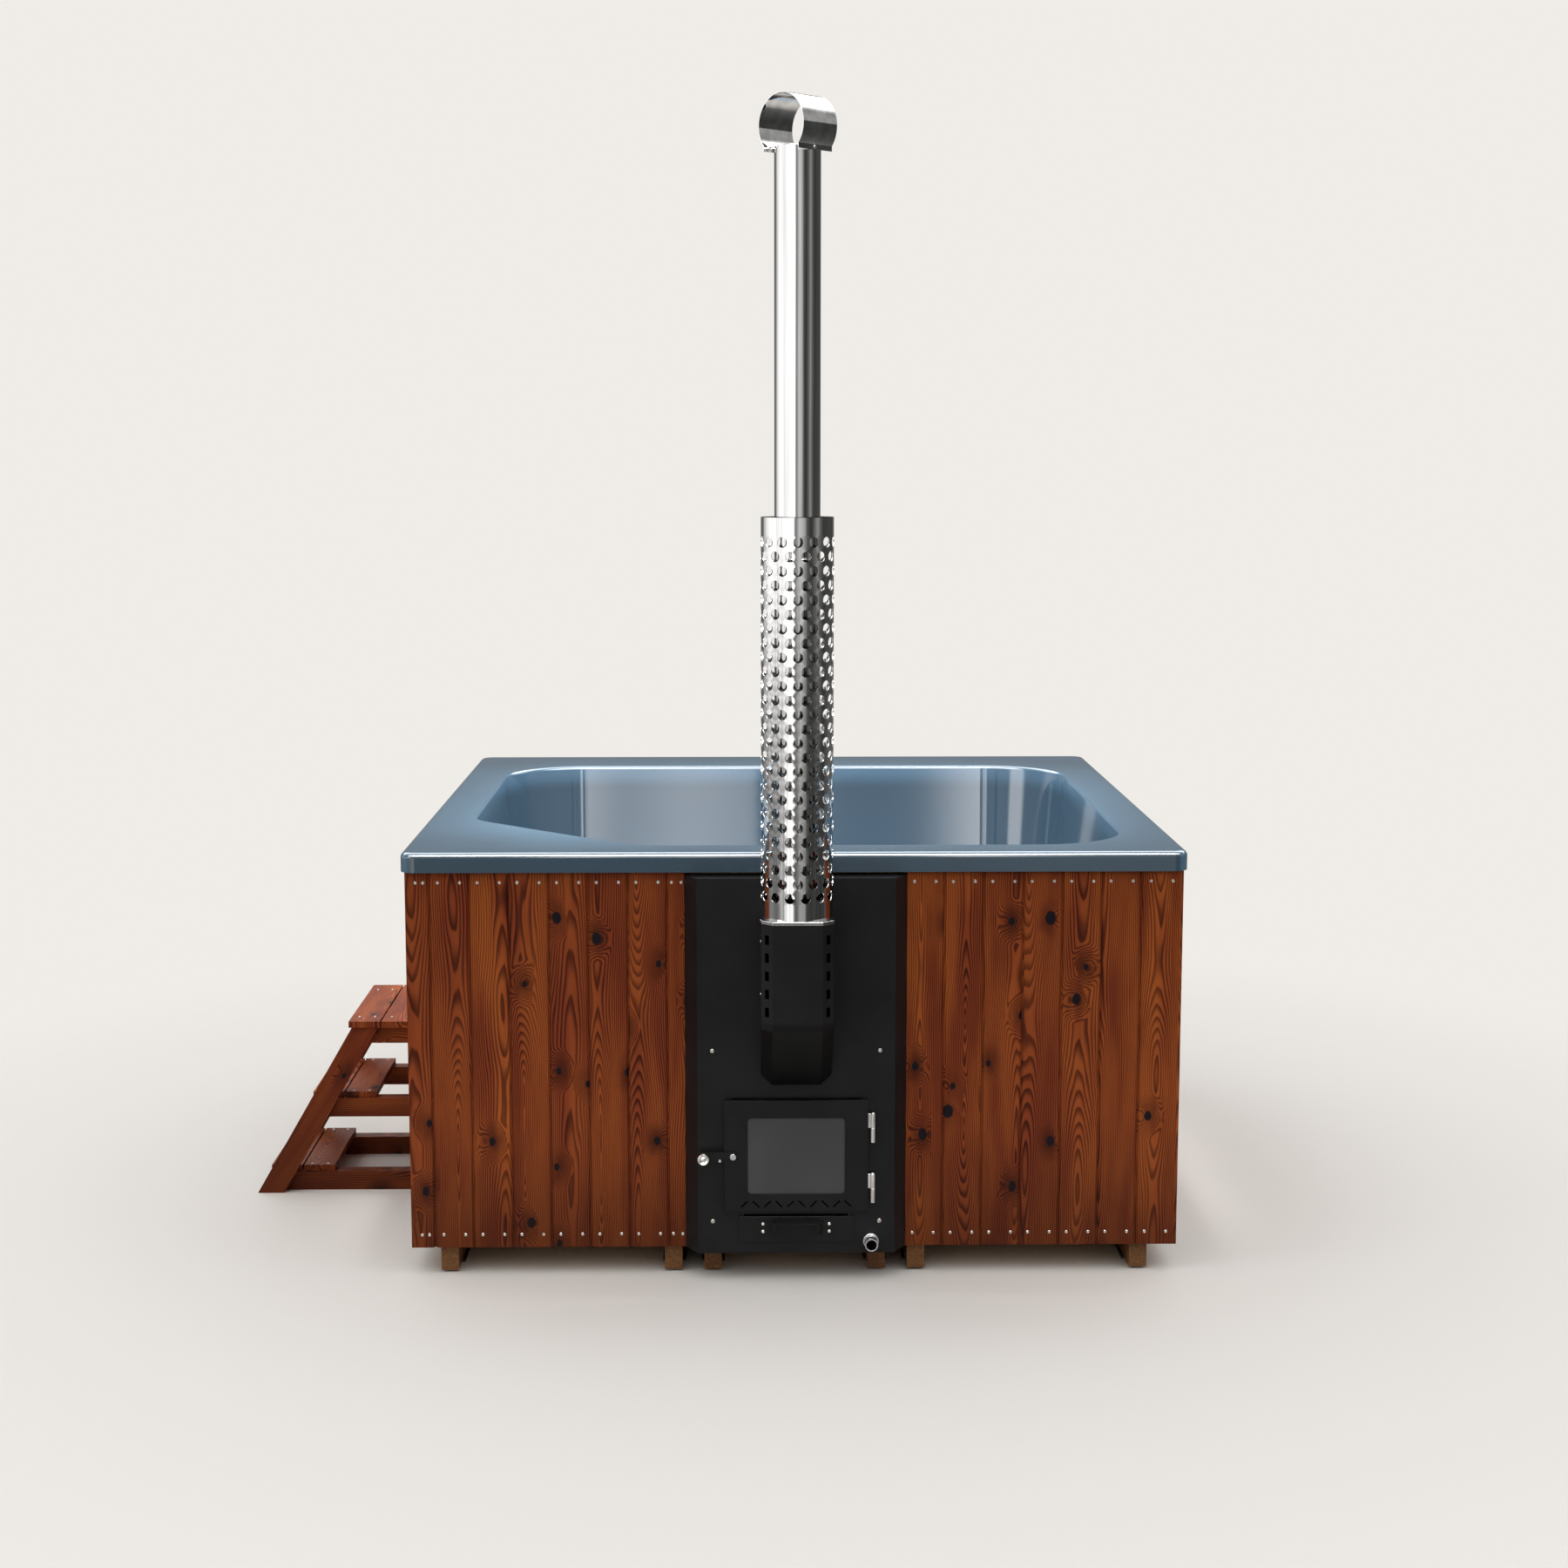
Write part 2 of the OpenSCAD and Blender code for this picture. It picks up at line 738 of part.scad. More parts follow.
// Each wall's planks, as the run's two ends and its first groove
side_end = timber_out - plank_fit;
full_run = [-side_end, side_end, plank_pitch / 2 - side_end];
back_run = [-wall_y, wall_y, plank_pitch / 2 - wall_y];
left_run = [-wall_y, stove_x - panel_w / 2 - plank_fit, first_plank_w - wall_y];
right_run = [stove_x + panel_w / 2 + plank_fit, wall_y, stove_x + panel_w / 2 + stove_side_plank_w];

// One countersunk cladding screw, its head flush with the planks' face
module clad_screw(x, z) {
    translate([x, -wall_y, z])
        rotate([-90, 0, 0]) {
            cylinder(h = clad_head_h, d1 = clad_head_d, d2 = clad_shank_d);
            cylinder(h = plank_t + clad_bite, d = clad_shank_d);
        }
}

// A screw's place on a plank, kept out of the planks and screws of the next wall
function screw_x(face, side) =
    max(-screw_end, min(screw_end, (face[0] + face[1]) / 2 + side * screw_share * (face[1] - face[0])));

module run_screws(run, shift) {
    for (face = plank_faces(run[0], run[1], run[2]))
        for (side = [-1, 1])
            for (z = [low_screw_z + shift, high_screw_z - shift])
                clad_screw(screw_x(face, side), z);
}

module all_clad_screws() {
    run_screws(left_run, 0);
    run_screws(right_run, 0);
    for (turn = [90, -90])
        rotate([0, 0, turn])
            run_screws(full_run, side_shift);
    rotate([0, 0, 180])
        run_screws(back_run, 0);
}

module bottom_rails() {
    color([0.62, 0.45, 0.28])
        difference() {
            union() {
                for (turn = [90, -90])
                    rotate([0, 0, turn])
                        block([-timber_in, -timber_out, joist_top], [timber_in, -timber_in, joist_top + rail_h]);
                block([-timber_out, timber_in, joist_top], [timber_out, timber_out, joist_top + rail_h]);
                block([-timber_out, -timber_out, joist_top],
                    [left_run[1], -timber_in, joist_top + rail_h]);
                block([right_run[0], -timber_out, joist_top],
                    [timber_out, -timber_in, joist_top + rail_h]);
            }
            all_clad_screws();
        }
}

module top_rails() {
    color([0.62, 0.45, 0.28])
        difference() {
            union() {
                for (turn = [90, -90])
                    rotate([0, 0, turn])
                        block([-timber_in, -timber_out, top_rail_z], [timber_in, -timber_in, deck_under]);
                for (turn = [0, 180])
                    rotate([0, 0, turn])
                        block([-timber_out, -timber_out, top_rail_z], [timber_out, -timber_in, deck_under]);
            }
            all_clad_screws();
        }
}

module post(x, y) {
    block([x, y, joist_top + rail_h], [x + frame_t, y + frame_t, top_rail_z]);
}

module frame_posts() {
    color([0.62, 0.45, 0.28]) {
        for (x = [-timber_out, timber_in])
            for (y = concat([-timber_out, timber_in], post_shares * clad_w))
                post(x, y);
        for (x = post_shares * clad_w)
            post(x - frame_t / 2, timber_in);
        post(left_run[1] - frame_t, -timber_out);
        post(right_run[0], -timber_out);
    }
}

module seat_post(x, y) {
    block([x - frame_t / 2, y - frame_t / 2, board_top], [x + frame_t / 2, y + frame_t / 2, seat_z - shell_t]);
}

module seat_posts() {
    side_x = (basin_x + well_x) / 2;
    back_y = (basin_back + well_back) / 2;
    color([0.62, 0.45, 0.28]) {
        for (side = [-1, 1]) {
            for (y = [well_front, (well_front + well_back) / 2, well_back])
                seat_post(side * side_x, y);
            seat_post(side * well_x / 2, back_y);
            seat_post(side * side_x * (1 - screw_share), (basin_front + well_front) / 2);
        }
    }
}

module tub_shell() {
    color([0.42, 0.53, 0.62])
        difference() {
            union() {
                difference() {
                    rim_block();
                    translate([0, 0, lip_z - over])
                        round_plate(rim_w / 2 - shell_t, rim_corner_r - shell_t, lip_h - shell_t + over);
                }
                basin_form(shell_t, seat_z - shell_t, deck_under + over);
                well_form(shell_t, well_floor_z - shell_t, seat_z);
            }
            basin_form(0, seat_z, rim_h + over);
            well_form(0, well_floor_z, seat_z + over);
            translate([stove_x + drain_x, waste_y, well_floor_z - shell_t - over])
                cylinder(h = shell_t + 2 * over, d = waste_d);
            for (z = [circ_low_z, circ_high_z])
                bar_y(circ_d, stove_x, z, jacket_rear, well_front + circ_d);
        }
}

module cladding_front_left() {
    color([0.43, 0.21, 0.11])
        difference() {
            plank_run(left_run);
            run_screws(left_run, 0);
        }
}

module cladding_front_right() {
    color([0.43, 0.21, 0.11])
        difference() {
            plank_run(right_run);
            run_screws(right_run, 0);
        }
}

module cladding_left() {
    color([0.41, 0.20, 0.10])
        rotate([0, 0, -90])
            difference() {
                plank_run(full_run);
                run_screws(full_run, side_shift);
            }
}

module cladding_right() {
    color([0.41, 0.20, 0.10])
        rotate([0, 0, 90])
            difference() {
                plank_run(full_run);
                run_screws(full_run, side_shift);
            }
}

module cladding_back() {
    color([0.41, 0.20, 0.10])
        rotate([0, 0, 180])
            difference() {
                plank_run(back_run);
                run_screws(back_run, 0);
            }
}

module cladding_screws() {
    color([0.58, 0.57, 0.55])
        all_clad_screws();
}

// The panel's plan outline, drawn in by a sheet's thickness
module panel_outline(inset, back) {
    lean_in = (panel_w - panel_face_w) / 2;
    slant = atan(lean_in / panel_out);
    x1 = panel_w / 2 - inset;
    x2 = panel_face_w / 2 - inset * tan((90 - slant) / 2);
    y1 = inset * tan(slant / 2);
    polygon([[-x1, back], [-x1, y1], [-x2, inset - panel_out], [x2, inset - panel_out], [x1, y1], [x1, back]]);
}

module panel_screw_holes(d, y0, y1) {
    for (x = [-panel_screw_x, panel_screw_x])
        for (z = [panel_screw_low_z, panel_screw_high_z])
            bar_y(d, x, z, y0, y1);
}

module stove_panel() {
    front = -panel_out - over;
    color([0.13, 0.13, 0.14])
        at_stove()
            difference() {
                translate([0, 0, clad_z])
                    linear_extrude(height = panel_top - clad_z)
                        panel_outline(0, plank_t);
                translate([0, 0, clad_z - over])
                    linear_extrude(height = panel_top - clad_z - panel_t + over)
                        panel_outline(panel_t, plank_t + over);
                wide_block(door_w - 2 * opening_in, front, panel_in + over, door_z + opening_low,
                    door_top + door_air_gap);
                wide_block(drawer_hole_w, front, panel_in + over, drawer_hole_z, drawer_top + drawer_air_gap);
                wide_block(flue_hole_w, front, panel_in + over, flue_panel_z - flue_hole_low,
                    flue_panel_z + flue_hole_high);
                panel_screw_holes(panel_shank_d, front, panel_in + over);
                bar_y(drain_d, drain_x, drain_z, front, panel_in + over);
            }
}

module panel_screws() {
    color([0.55, 0.55, 0.54])
        at_stove() {
            panel_screw_holes(panel_head_d, -panel_out - panel_head_h, -panel_out);
            panel_screw_holes(panel_shank_d, -panel_out, panel_in + jacket_foot);
        }
}

// A bar along the sloping part of the flue, from past its turn to inside the firebox
module sloping_bar(d) {
    translate([0, -flue_out, flue_meet_z])
        rotate([45, 0, 0])
            translate([0, 0, -2 * flue_out])
                cylinder(h = 3 * flue_out, d = d);
}

module firebox() {
    color([0.20, 0.20, 0.21])
        at_stove() {
            difference() {
                union() {
                    wide_block(firebox_w, body_y, firebox_back, firebox_z, firebox_top);
                    wide_block(throat_w, throat_y, firebox_in, throat_z, throat_top);
                    wide_block(ash_box_w, ash_y, ash_end, board_top, firebox_z);
                }
                wide_block(firebox_w - 2 * plate_t, firebox_in, firebox_back - plate_t,
                    firebox_z + plate_t, firebox_top - plate_t);
                wide_block(throat_w - 2 * throat_t, throat_y - over, firebox_in + over,
                    throat_z + throat_t, throat_top - throat_t);
                wide_block(ash_box_w - 2 * plate_t, ash_y - over, ash_end - plate_t,
                    board_top + plate_t, firebox_z - plate_t);
                wide_block(grate_hole_w, ash_end - plate_t - grate_hole_w, ash_end - plate_t,
                    firebox_z - plate_t - over, firebox_z + plate_t + over);
                intersection() {
                    sloping_bar(flue_d - 2 * flue_wall);
                    wide_block(firebox_w, body_y - over, firebox_in + over, firebox_z, jacket_top);
                }
            }
            for (x = [-tray_w / 2, tray_w / 2 - runner_w])
                block([x, ash_y, board_top + plate_t], [x + runner_w, ash_end - plate_t, tray_z]);
        }
}

module water_jacket() {
    foot_x = jacket_w / 2 - jacket_foot;
    color([0.30, 0.31, 0.32])
        at_stove() {
            difference() {
                wide_block(jacket_w, body_y, jacket_end, jacket_z, jacket_top);
                wide_block(jacket_w - 2 * plate_t, firebox_in, jacket_end - plate_t,
                    jacket_z + plate_t, jacket_top - plate_t);
                wide_block(firebox_w, body_y - over, firebox_back, firebox_z, firebox_top);
                wide_block(ash_box_w, body_y - over, ash_end, jacket_z - over, firebox_z + over);
                for (z = [circ_low_z, circ_high_z])
                    bar_y(circ_d - 2 * circ_wall, 0, z, firebox_back, jacket_end + over);
            }
            difference() {
                panel_screw_holes(boss_d, panel_in, body_y);
                panel_screw_holes(panel_shank_d, panel_in - over, panel_in + jacket_foot);
            }
            for (x = [-foot_x - jacket_foot, foot_x])
                for (y = [body_y, jacket_end - jacket_foot])
                    block([x, y, board_top], [x + jacket_foot, y + jacket_foot, jacket_z]);
        }
}

module fire_grate() {
    size = grate_hole_w + 2 * grate_rim;
    y0 = ash_end - plate_t - grate_hole_w - grate_rim;
    pitch = size / grate_bars;
    floor_z = firebox_z + plate_t;
    color([0.16, 0.15, 0.15])
        at_stove() {
            for (i = [0:grate_bars - 1])
                block([-size / 2 + (i + head_share) * pitch, y0, floor_z],
                    [-size / 2 + (i + 1 - head_share) * pitch, y0 + size, floor_z + grate_t]);
            for (y = [y0, y0 + size - grate_rim])
                block([-size / 2, y, floor_z], [size / 2, y + grate_rim, floor_z + grate_t]);
        }
}

module circulation_pipes() {
    color([0.62, 0.63, 0.64])
        for (z = [circ_low_z, circ_high_z])
            difference() {
                bar_y(circ_d, stove_x, z, jacket_rear, well_wall_y(z) - shell_t / 2);
                bar_y(circ_d - 2 * circ_wall, stove_x, z, jacket_rear - over, well_wall_y(z));
            }
}

module circulation_grilles() {
    slot = grille_t;
    color([0.70, 0.71, 0.72])
        for (z = [circ_low_z, circ_high_z])
            translate([stove_x, well_wall_y(z), z])
                rotate([wall_draft - 90, 0, 0])
                    difference() {
                        cylinder(h = grille_t, d = grille_d);
                        for (i = [-2:2])
                            translate([-circ_d / 2, 2 * i * slot - slot / 2, -over])
                                cube([circ_d, slot, grille_t + 2 * over]);
                    }
}

// A window-shaped block with round corners, grown by lap on each side
module window_block(lap, r, y0, y1) {
    w = window_w + 2 * lap;
    z0 = window_z - lap;
    z1 = window_z + window_h + lap;
    wide_block(w - 2 * r, y0, y1, z0, z1);
    wide_block(w, y0, y1, z0 + r, z1 - r);
    for (x = [r - w / 2, w / 2 - r])
        for (z = [z0 + r, z1 - r])
            bar_y(2 * r, x, z, y0, y1);
}

module air_slot(x, tilt) {
    translate([x, door_face - over, door_z + slot_up])
        rotate([0, tilt, 0])
            translate([-slot_l / 2, 0, -slot_w / 2])
                cube([slot_l, door_t + 2 * over, slot_w]);
}

module retainer_places(d, y0, y1) {
    x = window_w / 2 + retainer_lap - retainer_corner;
    for (side = [-x, x])
        for (z = [window_z - glass_lap, window_z + window_h + glass_lap])
            bar_y(d, side, z, y0, y1);
}

module door_panel() {
    span = (2 * slot_pairs - 1) * slot_pitch;
    color([0.13, 0.13, 0.14])
        at_stove() {
            difference() {
                wide_block(door_w, door_face, door_back, door_z, door_top);
                wide_block(door_w - 2 * door_t, door_inner, door_back + over, door_z + door_t, door_top - door_t);
                window_block(0, window_r, door_face - over, door_inner + over);
                for (i = [0:2 * slot_pairs - 1])
                    air_slot(i * slot_pitch - span / 2, i % 2 == 0 ? -45 : 45);
                bar_y(latch_shank_d, -latch_x, latch_z, door_face - over, door_inner + over);
            }
            difference() {
                retainer_places(retainer_screw_d + 2 * over, door_inner, glass_back);
                retainer_places(retainer_screw_d / 2, door_inner, glass_back + over);
            }
        }
}

module door_glass() {
    color([0.25, 0.26, 0.27, 0.6])
        at_stove()
            window_block(glass_lap, glass_lap, door_inner, glass_back);
}

module glass_retainer() {
    color([0.35, 0.35, 0.36])
        at_stove()
            difference() {
                window_block(retainer_lap, retainer_corner, glass_back, glass_back + retainer_t);
                window_block(-retainer_t, window_r, glass_back - over, glass_back + retainer_t + over);
                retainer_places(retainer_screw_d / 2, glass_back - over, glass_back + retainer_t + over);
            }
}

module retainer_screws() {
    color([0.55, 0.55, 0.54])
        at_stove() {
            retainer_places(retainer_screw_d / 2, door_inner, glass_back + retainer_t);
            retainer_places(retainer_screw_d, glass_back + retainer_t, glass_back + retainer_t + retainer_screw_h);
        }
}

module door_seal() {
    low = throat_z - seal_under;
    high = throat_top + seal_over;
    color([0.75, 0.73, 0.68])
        at_stove()
            difference() {
                wide_block(throat_w + 2 * seal_over, door_inner, throat_y, low, high);
                wide_block(throat_w + 2 * seal_over - 2 * seal_w, door_inner - over, throat_y + over,
                    low + seal_low_w, high - seal_w);
            }
}

hinge_feet = [low_hinge_up, high_hinge_up];

module barrel(d, up, h) {
    for (foot = hinge_feet)
        translate([hinge_x, hinge_y, door_z + foot + up])
            cylinder(h = h, d = d);
}

module door_hinge_knuckles() {
    up = knuckle_h + knuckle_gap;
    color([0.72, 0.72, 0.72])
        at_stove()
            difference() {
                union() {
                    barrel(barrel_d, up, knuckle_h);
                    for (foot = hinge_feet)
                        block([door_w / 2, hinge_y - leaf_t / 2, door_z + foot + up],
                            [hinge_x, hinge_y + leaf_t / 2, door_z + foot + up + knuckle_h]);
                }
                barrel(hinge_pin_d + 2 * hinge_clear, up - over, knuckle_h + 2 * over);
            }
}

module panel_hinge_knuckles() {
    color([0.72, 0.72, 0.72])
        at_stove()
            difference() {
                union() {
                    barrel(barrel_d, 0, knuckle_h);
                    for (foot = hinge_feet)
                        block([hinge_x - leaf_t, hinge_y, door_z + foot],
                            [hinge_x + leaf_t, -panel_out, door_z + foot + knuckle_h]);
                }
                barrel(hinge_pin_d, -over, knuckle_h + 2 * over);
            }
}

module hinge_pins() {
    color([0.60, 0.60, 0.61])
        at_stove() {
            barrel(hinge_pin_d, 0, hinge_h + pin_head_h);
            barrel(barrel_d - 2 * over, hinge_h + knuckle_gap, pin_head_h);
        }
}

module latch_arm() {
    top = latch_arm_w / 2;
    color([0.13, 0.13, 0.14])
        at_stove()
            difference() {
                union() {
                    bar_y(latch_arm_w, -latch_x, latch_z, arm_face, arm_back);
                    bar_y(latch_arm_w, -latch_x - latch_arm_l, latch_z, arm_face, arm_back);
                    block([-latch_x - latch_arm_l, arm_face, latch_z - top], [-latch_x, arm_back, latch_z + top]);
                }
                bar_y(latch_shank_d + 2 * hinge_clear, -latch_x, latch_z, arm_face - over, arm_back + over);
                bar_y(catch_d + 2 * catch_clear, -latch_x - catch_in, latch_z - catch_down,
                    arm_face - over, arm_back + over);
                block([-latch_x - catch_in - catch_d / 2 - catch_clear, arm_face - over, latch_z - 2 * top],
                    [-latch_x - catch_in + catch_d / 2 + catch_clear, arm_back + over, latch_z - catch_down]);
            }
}

module latch_knob() {
    x = -latch_x - latch_arm_l;
    stem_end = arm_face - knob_stem_h;
    color([0.76, 0.76, 0.77])
        at_stove() {
            bar_y(knob_stem_d, x, latch_z, stem_end, arm_face);
            bar_y(knob_d, x, latch_z, stem_end - knob_h, stem_end);
        }
}

module latch_bolt() {
    color([0.72, 0.72, 0.72])
        at_stove() {
            bar_y(latch_shank_d, -latch_x, latch_z, arm_face - over, door_inner);
            bar_y(latch_bolt_d, -latch_x, latch_z, arm_face - over - bolt_head_h, arm_face - over);
            bar_y(latch_bolt_d, -latch_x, latch_z, door_inner, door_inner + bolt_head_h);
        }
}

module catch_stud() {
    color([0.65, 0.65, 0.66])
        at_stove()
            bar_y(catch_d, -latch_x - catch_in, latch_z - catch_down, arm_face - catch_past, -panel_out);
}

module ash_tray() {
    color([0.45, 0.46, 0.47])
        at_stove()
            difference() {
                wide_block(tray_w, drawer_back, drawer_back + tray_l, tray_z, tray_z + tray_h);
                wide_block(tray_w - 2 * tray_t, drawer_back + tray_t, drawer_back + tray_l - tray_t,
                    tray_z + tray_t, tray_z + tray_h + over);
            }
}

module drawer_front() {
    color([0.13, 0.13, 0.14])
        at_stove()
            wide_block(drawer_w, drawer_face, drawer_back, drawer_z, drawer_top);
}

// The handle's screw places
module pull_places(d, y0, y1) {
    x = pull_w / 2 + pull_foot * 0.6;
    mid = pull_top - pull_h / 2;
    for (side = [-x, x])
        for (z = [mid - pull_screw_gap / 2, mid + pull_screw_gap / 2])
            bar_y(d, side, z, y0, y1);
}

module drawer_handle() {
    root = pull_w / 2;
    tip = root - pull_lean;
    front = drawer_face - pull_out;
    color([0.13, 0.13, 0.14])
        at_stove()
            difference() {
                union() {
                    translate([0, 0, pull_top - pull_t])
                        linear_extrude(height = pull_t)
                            polygon([[-root, drawer_face], [-tip, front], [tip, front], [root, drawer_face]]);
                    for (side = [-1, 1]) {
                        intersection() {
                            translate([0, 0, pull_top - pull_h])
                                linear_extrude(height = pull_h)
                                    polygon([[side * root, drawer_face], [side * tip, front],
                                        [side * (tip - pull_t), front], [side * (root - pull_t), drawer_face]]);
                            rotate([90, 0, 90])
                                translate([0, 0, -root])
                                    linear_extrude(height = 2 * root)
                                        polygon([[drawer_face, pull_top], [front, pull_top],
                                            [front, pull_top - pull_h + pull_rise],
                                            [drawer_face, pull_top - pull_h]]);
                        }
                        block([min(side * (root - pull_t), side * (root + pull_foot)), drawer_face - pull_t,
                            pull_top - pull_h],
                            [max(side * (root - pull_t), side * (root + pull_foot)), drawer_face, pull_top]);
                    }
                }
                pull_places(pull_screw_d / 2, front, drawer_face + over);
            }
}

module handle_screws() {
    color([0.70, 0.70, 0.70])
        at_stove() {
            pull_places(pull_screw_d / 2, drawer_face - pull_t, drawer_face);
            pull_places(pull_screw_d, drawer_face - pull_t - pull_screw_h, drawer_face - pull_t);
        }
}

// What lies on one side of the mitre between the sloping pipe and the upright one
module mitre_side(up) {
    translate([0, -flue_out, flue_meet_z])
        rotate([45 / 2, 0, 0])
            translate([-flue_d, -2 * flue_d, up ? 0 : -4 * flue_d])
                cube([2 * flue_d, 4 * flue_d, 4 * flue_d]);
}

// The flue's way out of the firebox as one solid bar, mitred where it turns upright
module flue_path(d, high, end) {
    intersection() {
        sloping_bar(d);
        mitre_side(false);
        wide_block(housing_w, -2 * housing_out, end, 0, housing_top_z);
    }
    intersection() {
        translate([0, -flue_out, firebox_top])
            cylinder(h = high - firebox_top, d = d);
        mitre_side(true);
    }
}

module flue_elbow() {
    color([0.55, 0.56, 0.57])
        at_stove() {
            difference() {
                flue_path(flue_d, flue_start_z, body_y);
                flue_path(2 * flue_bore, flue_start_z + over, body_y + over);
            }
            sleeve(flue_start_z);
        }
}

// The sleeve that joins two pipes from inside
module sleeve(z) {
    translate([0, -flue_out, z - sleeve_l])
        difference() {
            cylinder(h = 2 * sleeve_l, r = flue_bore - sleeve_clear);
            translate([0, 0, -over])
                cylinder(h = 2 * sleeve_l + 2 * over, r = flue_bore - flue_wall);
        }
}

module pipe(z0, z1) {
    translate([0, -flue_out, z0])
        difference() {
            cylinder(h = z1 - z0, r = flue_r);
            translate([0, 0, -over])
                cylinder(h = z1 - z0 + 2 * over, r = flue_bore);
        }
}

module flue_pipe_lower() {
    color([0.78, 0.78, 0.79])
        at_stove() {
            pipe(flue_start_z, flue_joint_z);
            sleeve(flue_joint_z);
        }
}

module flue_pipe_upper() {
    color([0.78, 0.78, 0.79])
        at_stove()
            pipe(flue_joint_z, flue_top_z);
}

// The housing's plan outline, drawn in by inset and run back to a given depth
module housing_outline(inset, back) {
    cut = inset * tan(45 / 2);
    x1 = housing_w / 2 - inset;
    x2 = housing_face_w / 2 - cut;
    y1 = bevel - housing_out + cut;
    y2 = inset - housing_out;
    polygon([[-x1, back], [-x1, y1], [-x2, y2], [x2, y2], [x1, y1], [x1, back]]);
}

// A bar that keeps what lies above and behind the housing's sloping underside
module slope_bar(inset) {
    x1 = housing_w / 2 - inset;
    x2 = housing_face_w / 2 - inset * tan(45 / 2);
    d0 = slope_place + inset;
    d1 = slope_place + bevel / sqrt(2) + inset;
    deep = d0 + housing_top_z;
    rotate([45, 0, 0])
        translate([0, 0, -housing_top_z])
            linear_extrude(height = 3 * housing_top_z)
                polygon([[-x2, d0], [x2, d0], [x1, d1], [x1, deep], [-x1, deep], [-x1, d1]]);
}

module housing_form(inset, back, high) {
    intersection() {
        translate([0, 0, firebox_z])
            linear_extrude(height = high - firebox_z)
                housing_outline(inset, back);
        slope_bar(inset);
    }
}

module vent_slots() {
    x = (housing_w / 2 + housing_face_w / 2) / 2;
    y = bevel / 2 - housing_out;
    for (side = [-1, 1])
        for (i = [0:vent_count - 1])
            translate([side * x, y, housing_top_z - vent_down - i * vent_pitch])
                rotate([0, 0, side * 45])
                    cube([vent_w, 4 * housing_t, vent_h], center = true);
}

module housing_screw_bars(d, from, to) {
    for (side = [-1, 1])
        for (share = housing_screw_shares)
            translate([side * (housing_w / 2 + from), -panel_out - housing_screw_in,
                housing_top_z - share * housing_run])
                rotate([0, side * 90, 0])
                    cylinder(h = to - from, d = d);
}

module flue_housing() {
    color([0.13, 0.13, 0.14])
        at_stove()
            difference() {
                housing_form(0, -panel_out, housing_top_z);
                housing_form(housing_t, over - panel_out, housing_top_z + over);
                vent_slots();
                housing_screw_bars(housing_head_d / 2, -2 * housing_t, over);
            }
}

module housing_screws() {
    color([0.70, 0.70, 0.70])
        at_stove() {
            housing_screw_bars(housing_head_d / 2, -housing_t, 0);
            housing_screw_bars(housing_head_d, 0, housing_head_h);
        }
}

module housing_collar() {
    color([0.82, 0.82, 0.83])
        at_stove()
            translate([0, 0, housing_top_z])
                difference() {
                    linear_extrude(height = collar_h)
                        housing_outline(0, -panel_out);
                    translate([0, 0, -over])
                        linear_extrude(height = collar_h - housing_t + over)
                            housing_outline(housing_t, -panel_out - housing_t);
                    translate([0, -flue_out, 0])
                        cylinder(h = collar_h + over, d = flue_d);
                }
}

module guard_hole_bars() {
    turn = 360 / guard_holes;
    start = guard_d / 2 - 2 * guard_wall;
    for (row = [0:guard_rows - 1])
        translate([0, 0, guard_top - guard_top_margin - row * guard_pitch])
            for (i = [0:guard_holes - 1])
                rotate([90, 0, (i + (row % 2) / 2) * turn])
                    translate([0, 0, start])
                        cylinder(h = 4 * guard_wall, d = guard_hole_d);
}

module heat_guard() {
    color([0.82, 0.82, 0.83])
        at_stove()
            translate([0, -flue_out, 0])
                difference() {
                    translate([0, 0, collar_z])
                        cylinder(h = guard_h, d = guard_d);
                    translate([0, 0, collar_z - over])
                        cylinder(h = guard_h + 2 * over, d = guard_d - 2 * guard_wall);
                    guard_hole_bars();
                }
}

module guard_spacers() {
    color([0.70, 0.70, 0.70])
        at_stove()
            translate([0, -flue_out, 0])
                difference() {
                    intersection() {
                        cylinder(h = guard_top, d = guard_d - 2 * guard_wall);
                        for (z = [collar_z + spacer_in / 2, guard_top - spacer_in / 2])
                            for (i = [0:2])
                                rotate([0, 0, sixth_turn / 2 + 2 * i * sixth_turn])
                                    translate([0, -spacer_w / 2, z])
                                        cube([guard_d, spacer_w, spacer_t]);
                    }
                    translate([0, 0, -over])
                        cylinder(h = guard_top + 2 * over, d = flue_d);
                }
}

// Puts cap pieces on the pipe's top, with the hoop's axis along X
module at_cap() {
    at_stove()
        translate([0, -flue_out, 0])
            rotate([0, 0, cap_turn])
                children();
}

module chimney_cap() {
    color([0.82, 0.82, 0.83])
        at_cap() {
            difference() {
                translate([-cap_w / 2, 0, cap_z])
                    rotate([0, 90, 0])
                        cylinder(h = cap_w, d = cap_d);
                translate([-cap_w / 2 - over, 0, cap_z])
                    rotate([0, 90, 0])
                        cylinder(h = cap_w + 2 * over, d = cap_d - 2 * cap_t);
                block([-cap_w, -cap_d, cap_z - cap_d], [cap_w, cap_d, flue_top_z]);
            }
            for (side = [-1, 1])
                translate([-cap_w / 2, side > 0 ? foot_half : -foot_half - cap_t, flue_top_z - cap_foot_h])
                    cube([cap_w, cap_t, cap_foot_h]);
        }
}

module cap_rivets() {
    color([0.65, 0.65, 0.66])
        at_cap()
            for (side = [-1, 1])
                translate([0, side * (foot_half + cap_t), flue_top_z - cap_foot_h / 2])
                    rotate([-side * 90, 0, 0])
                        cylinder(h = rivet_h, d = rivet_d);
}

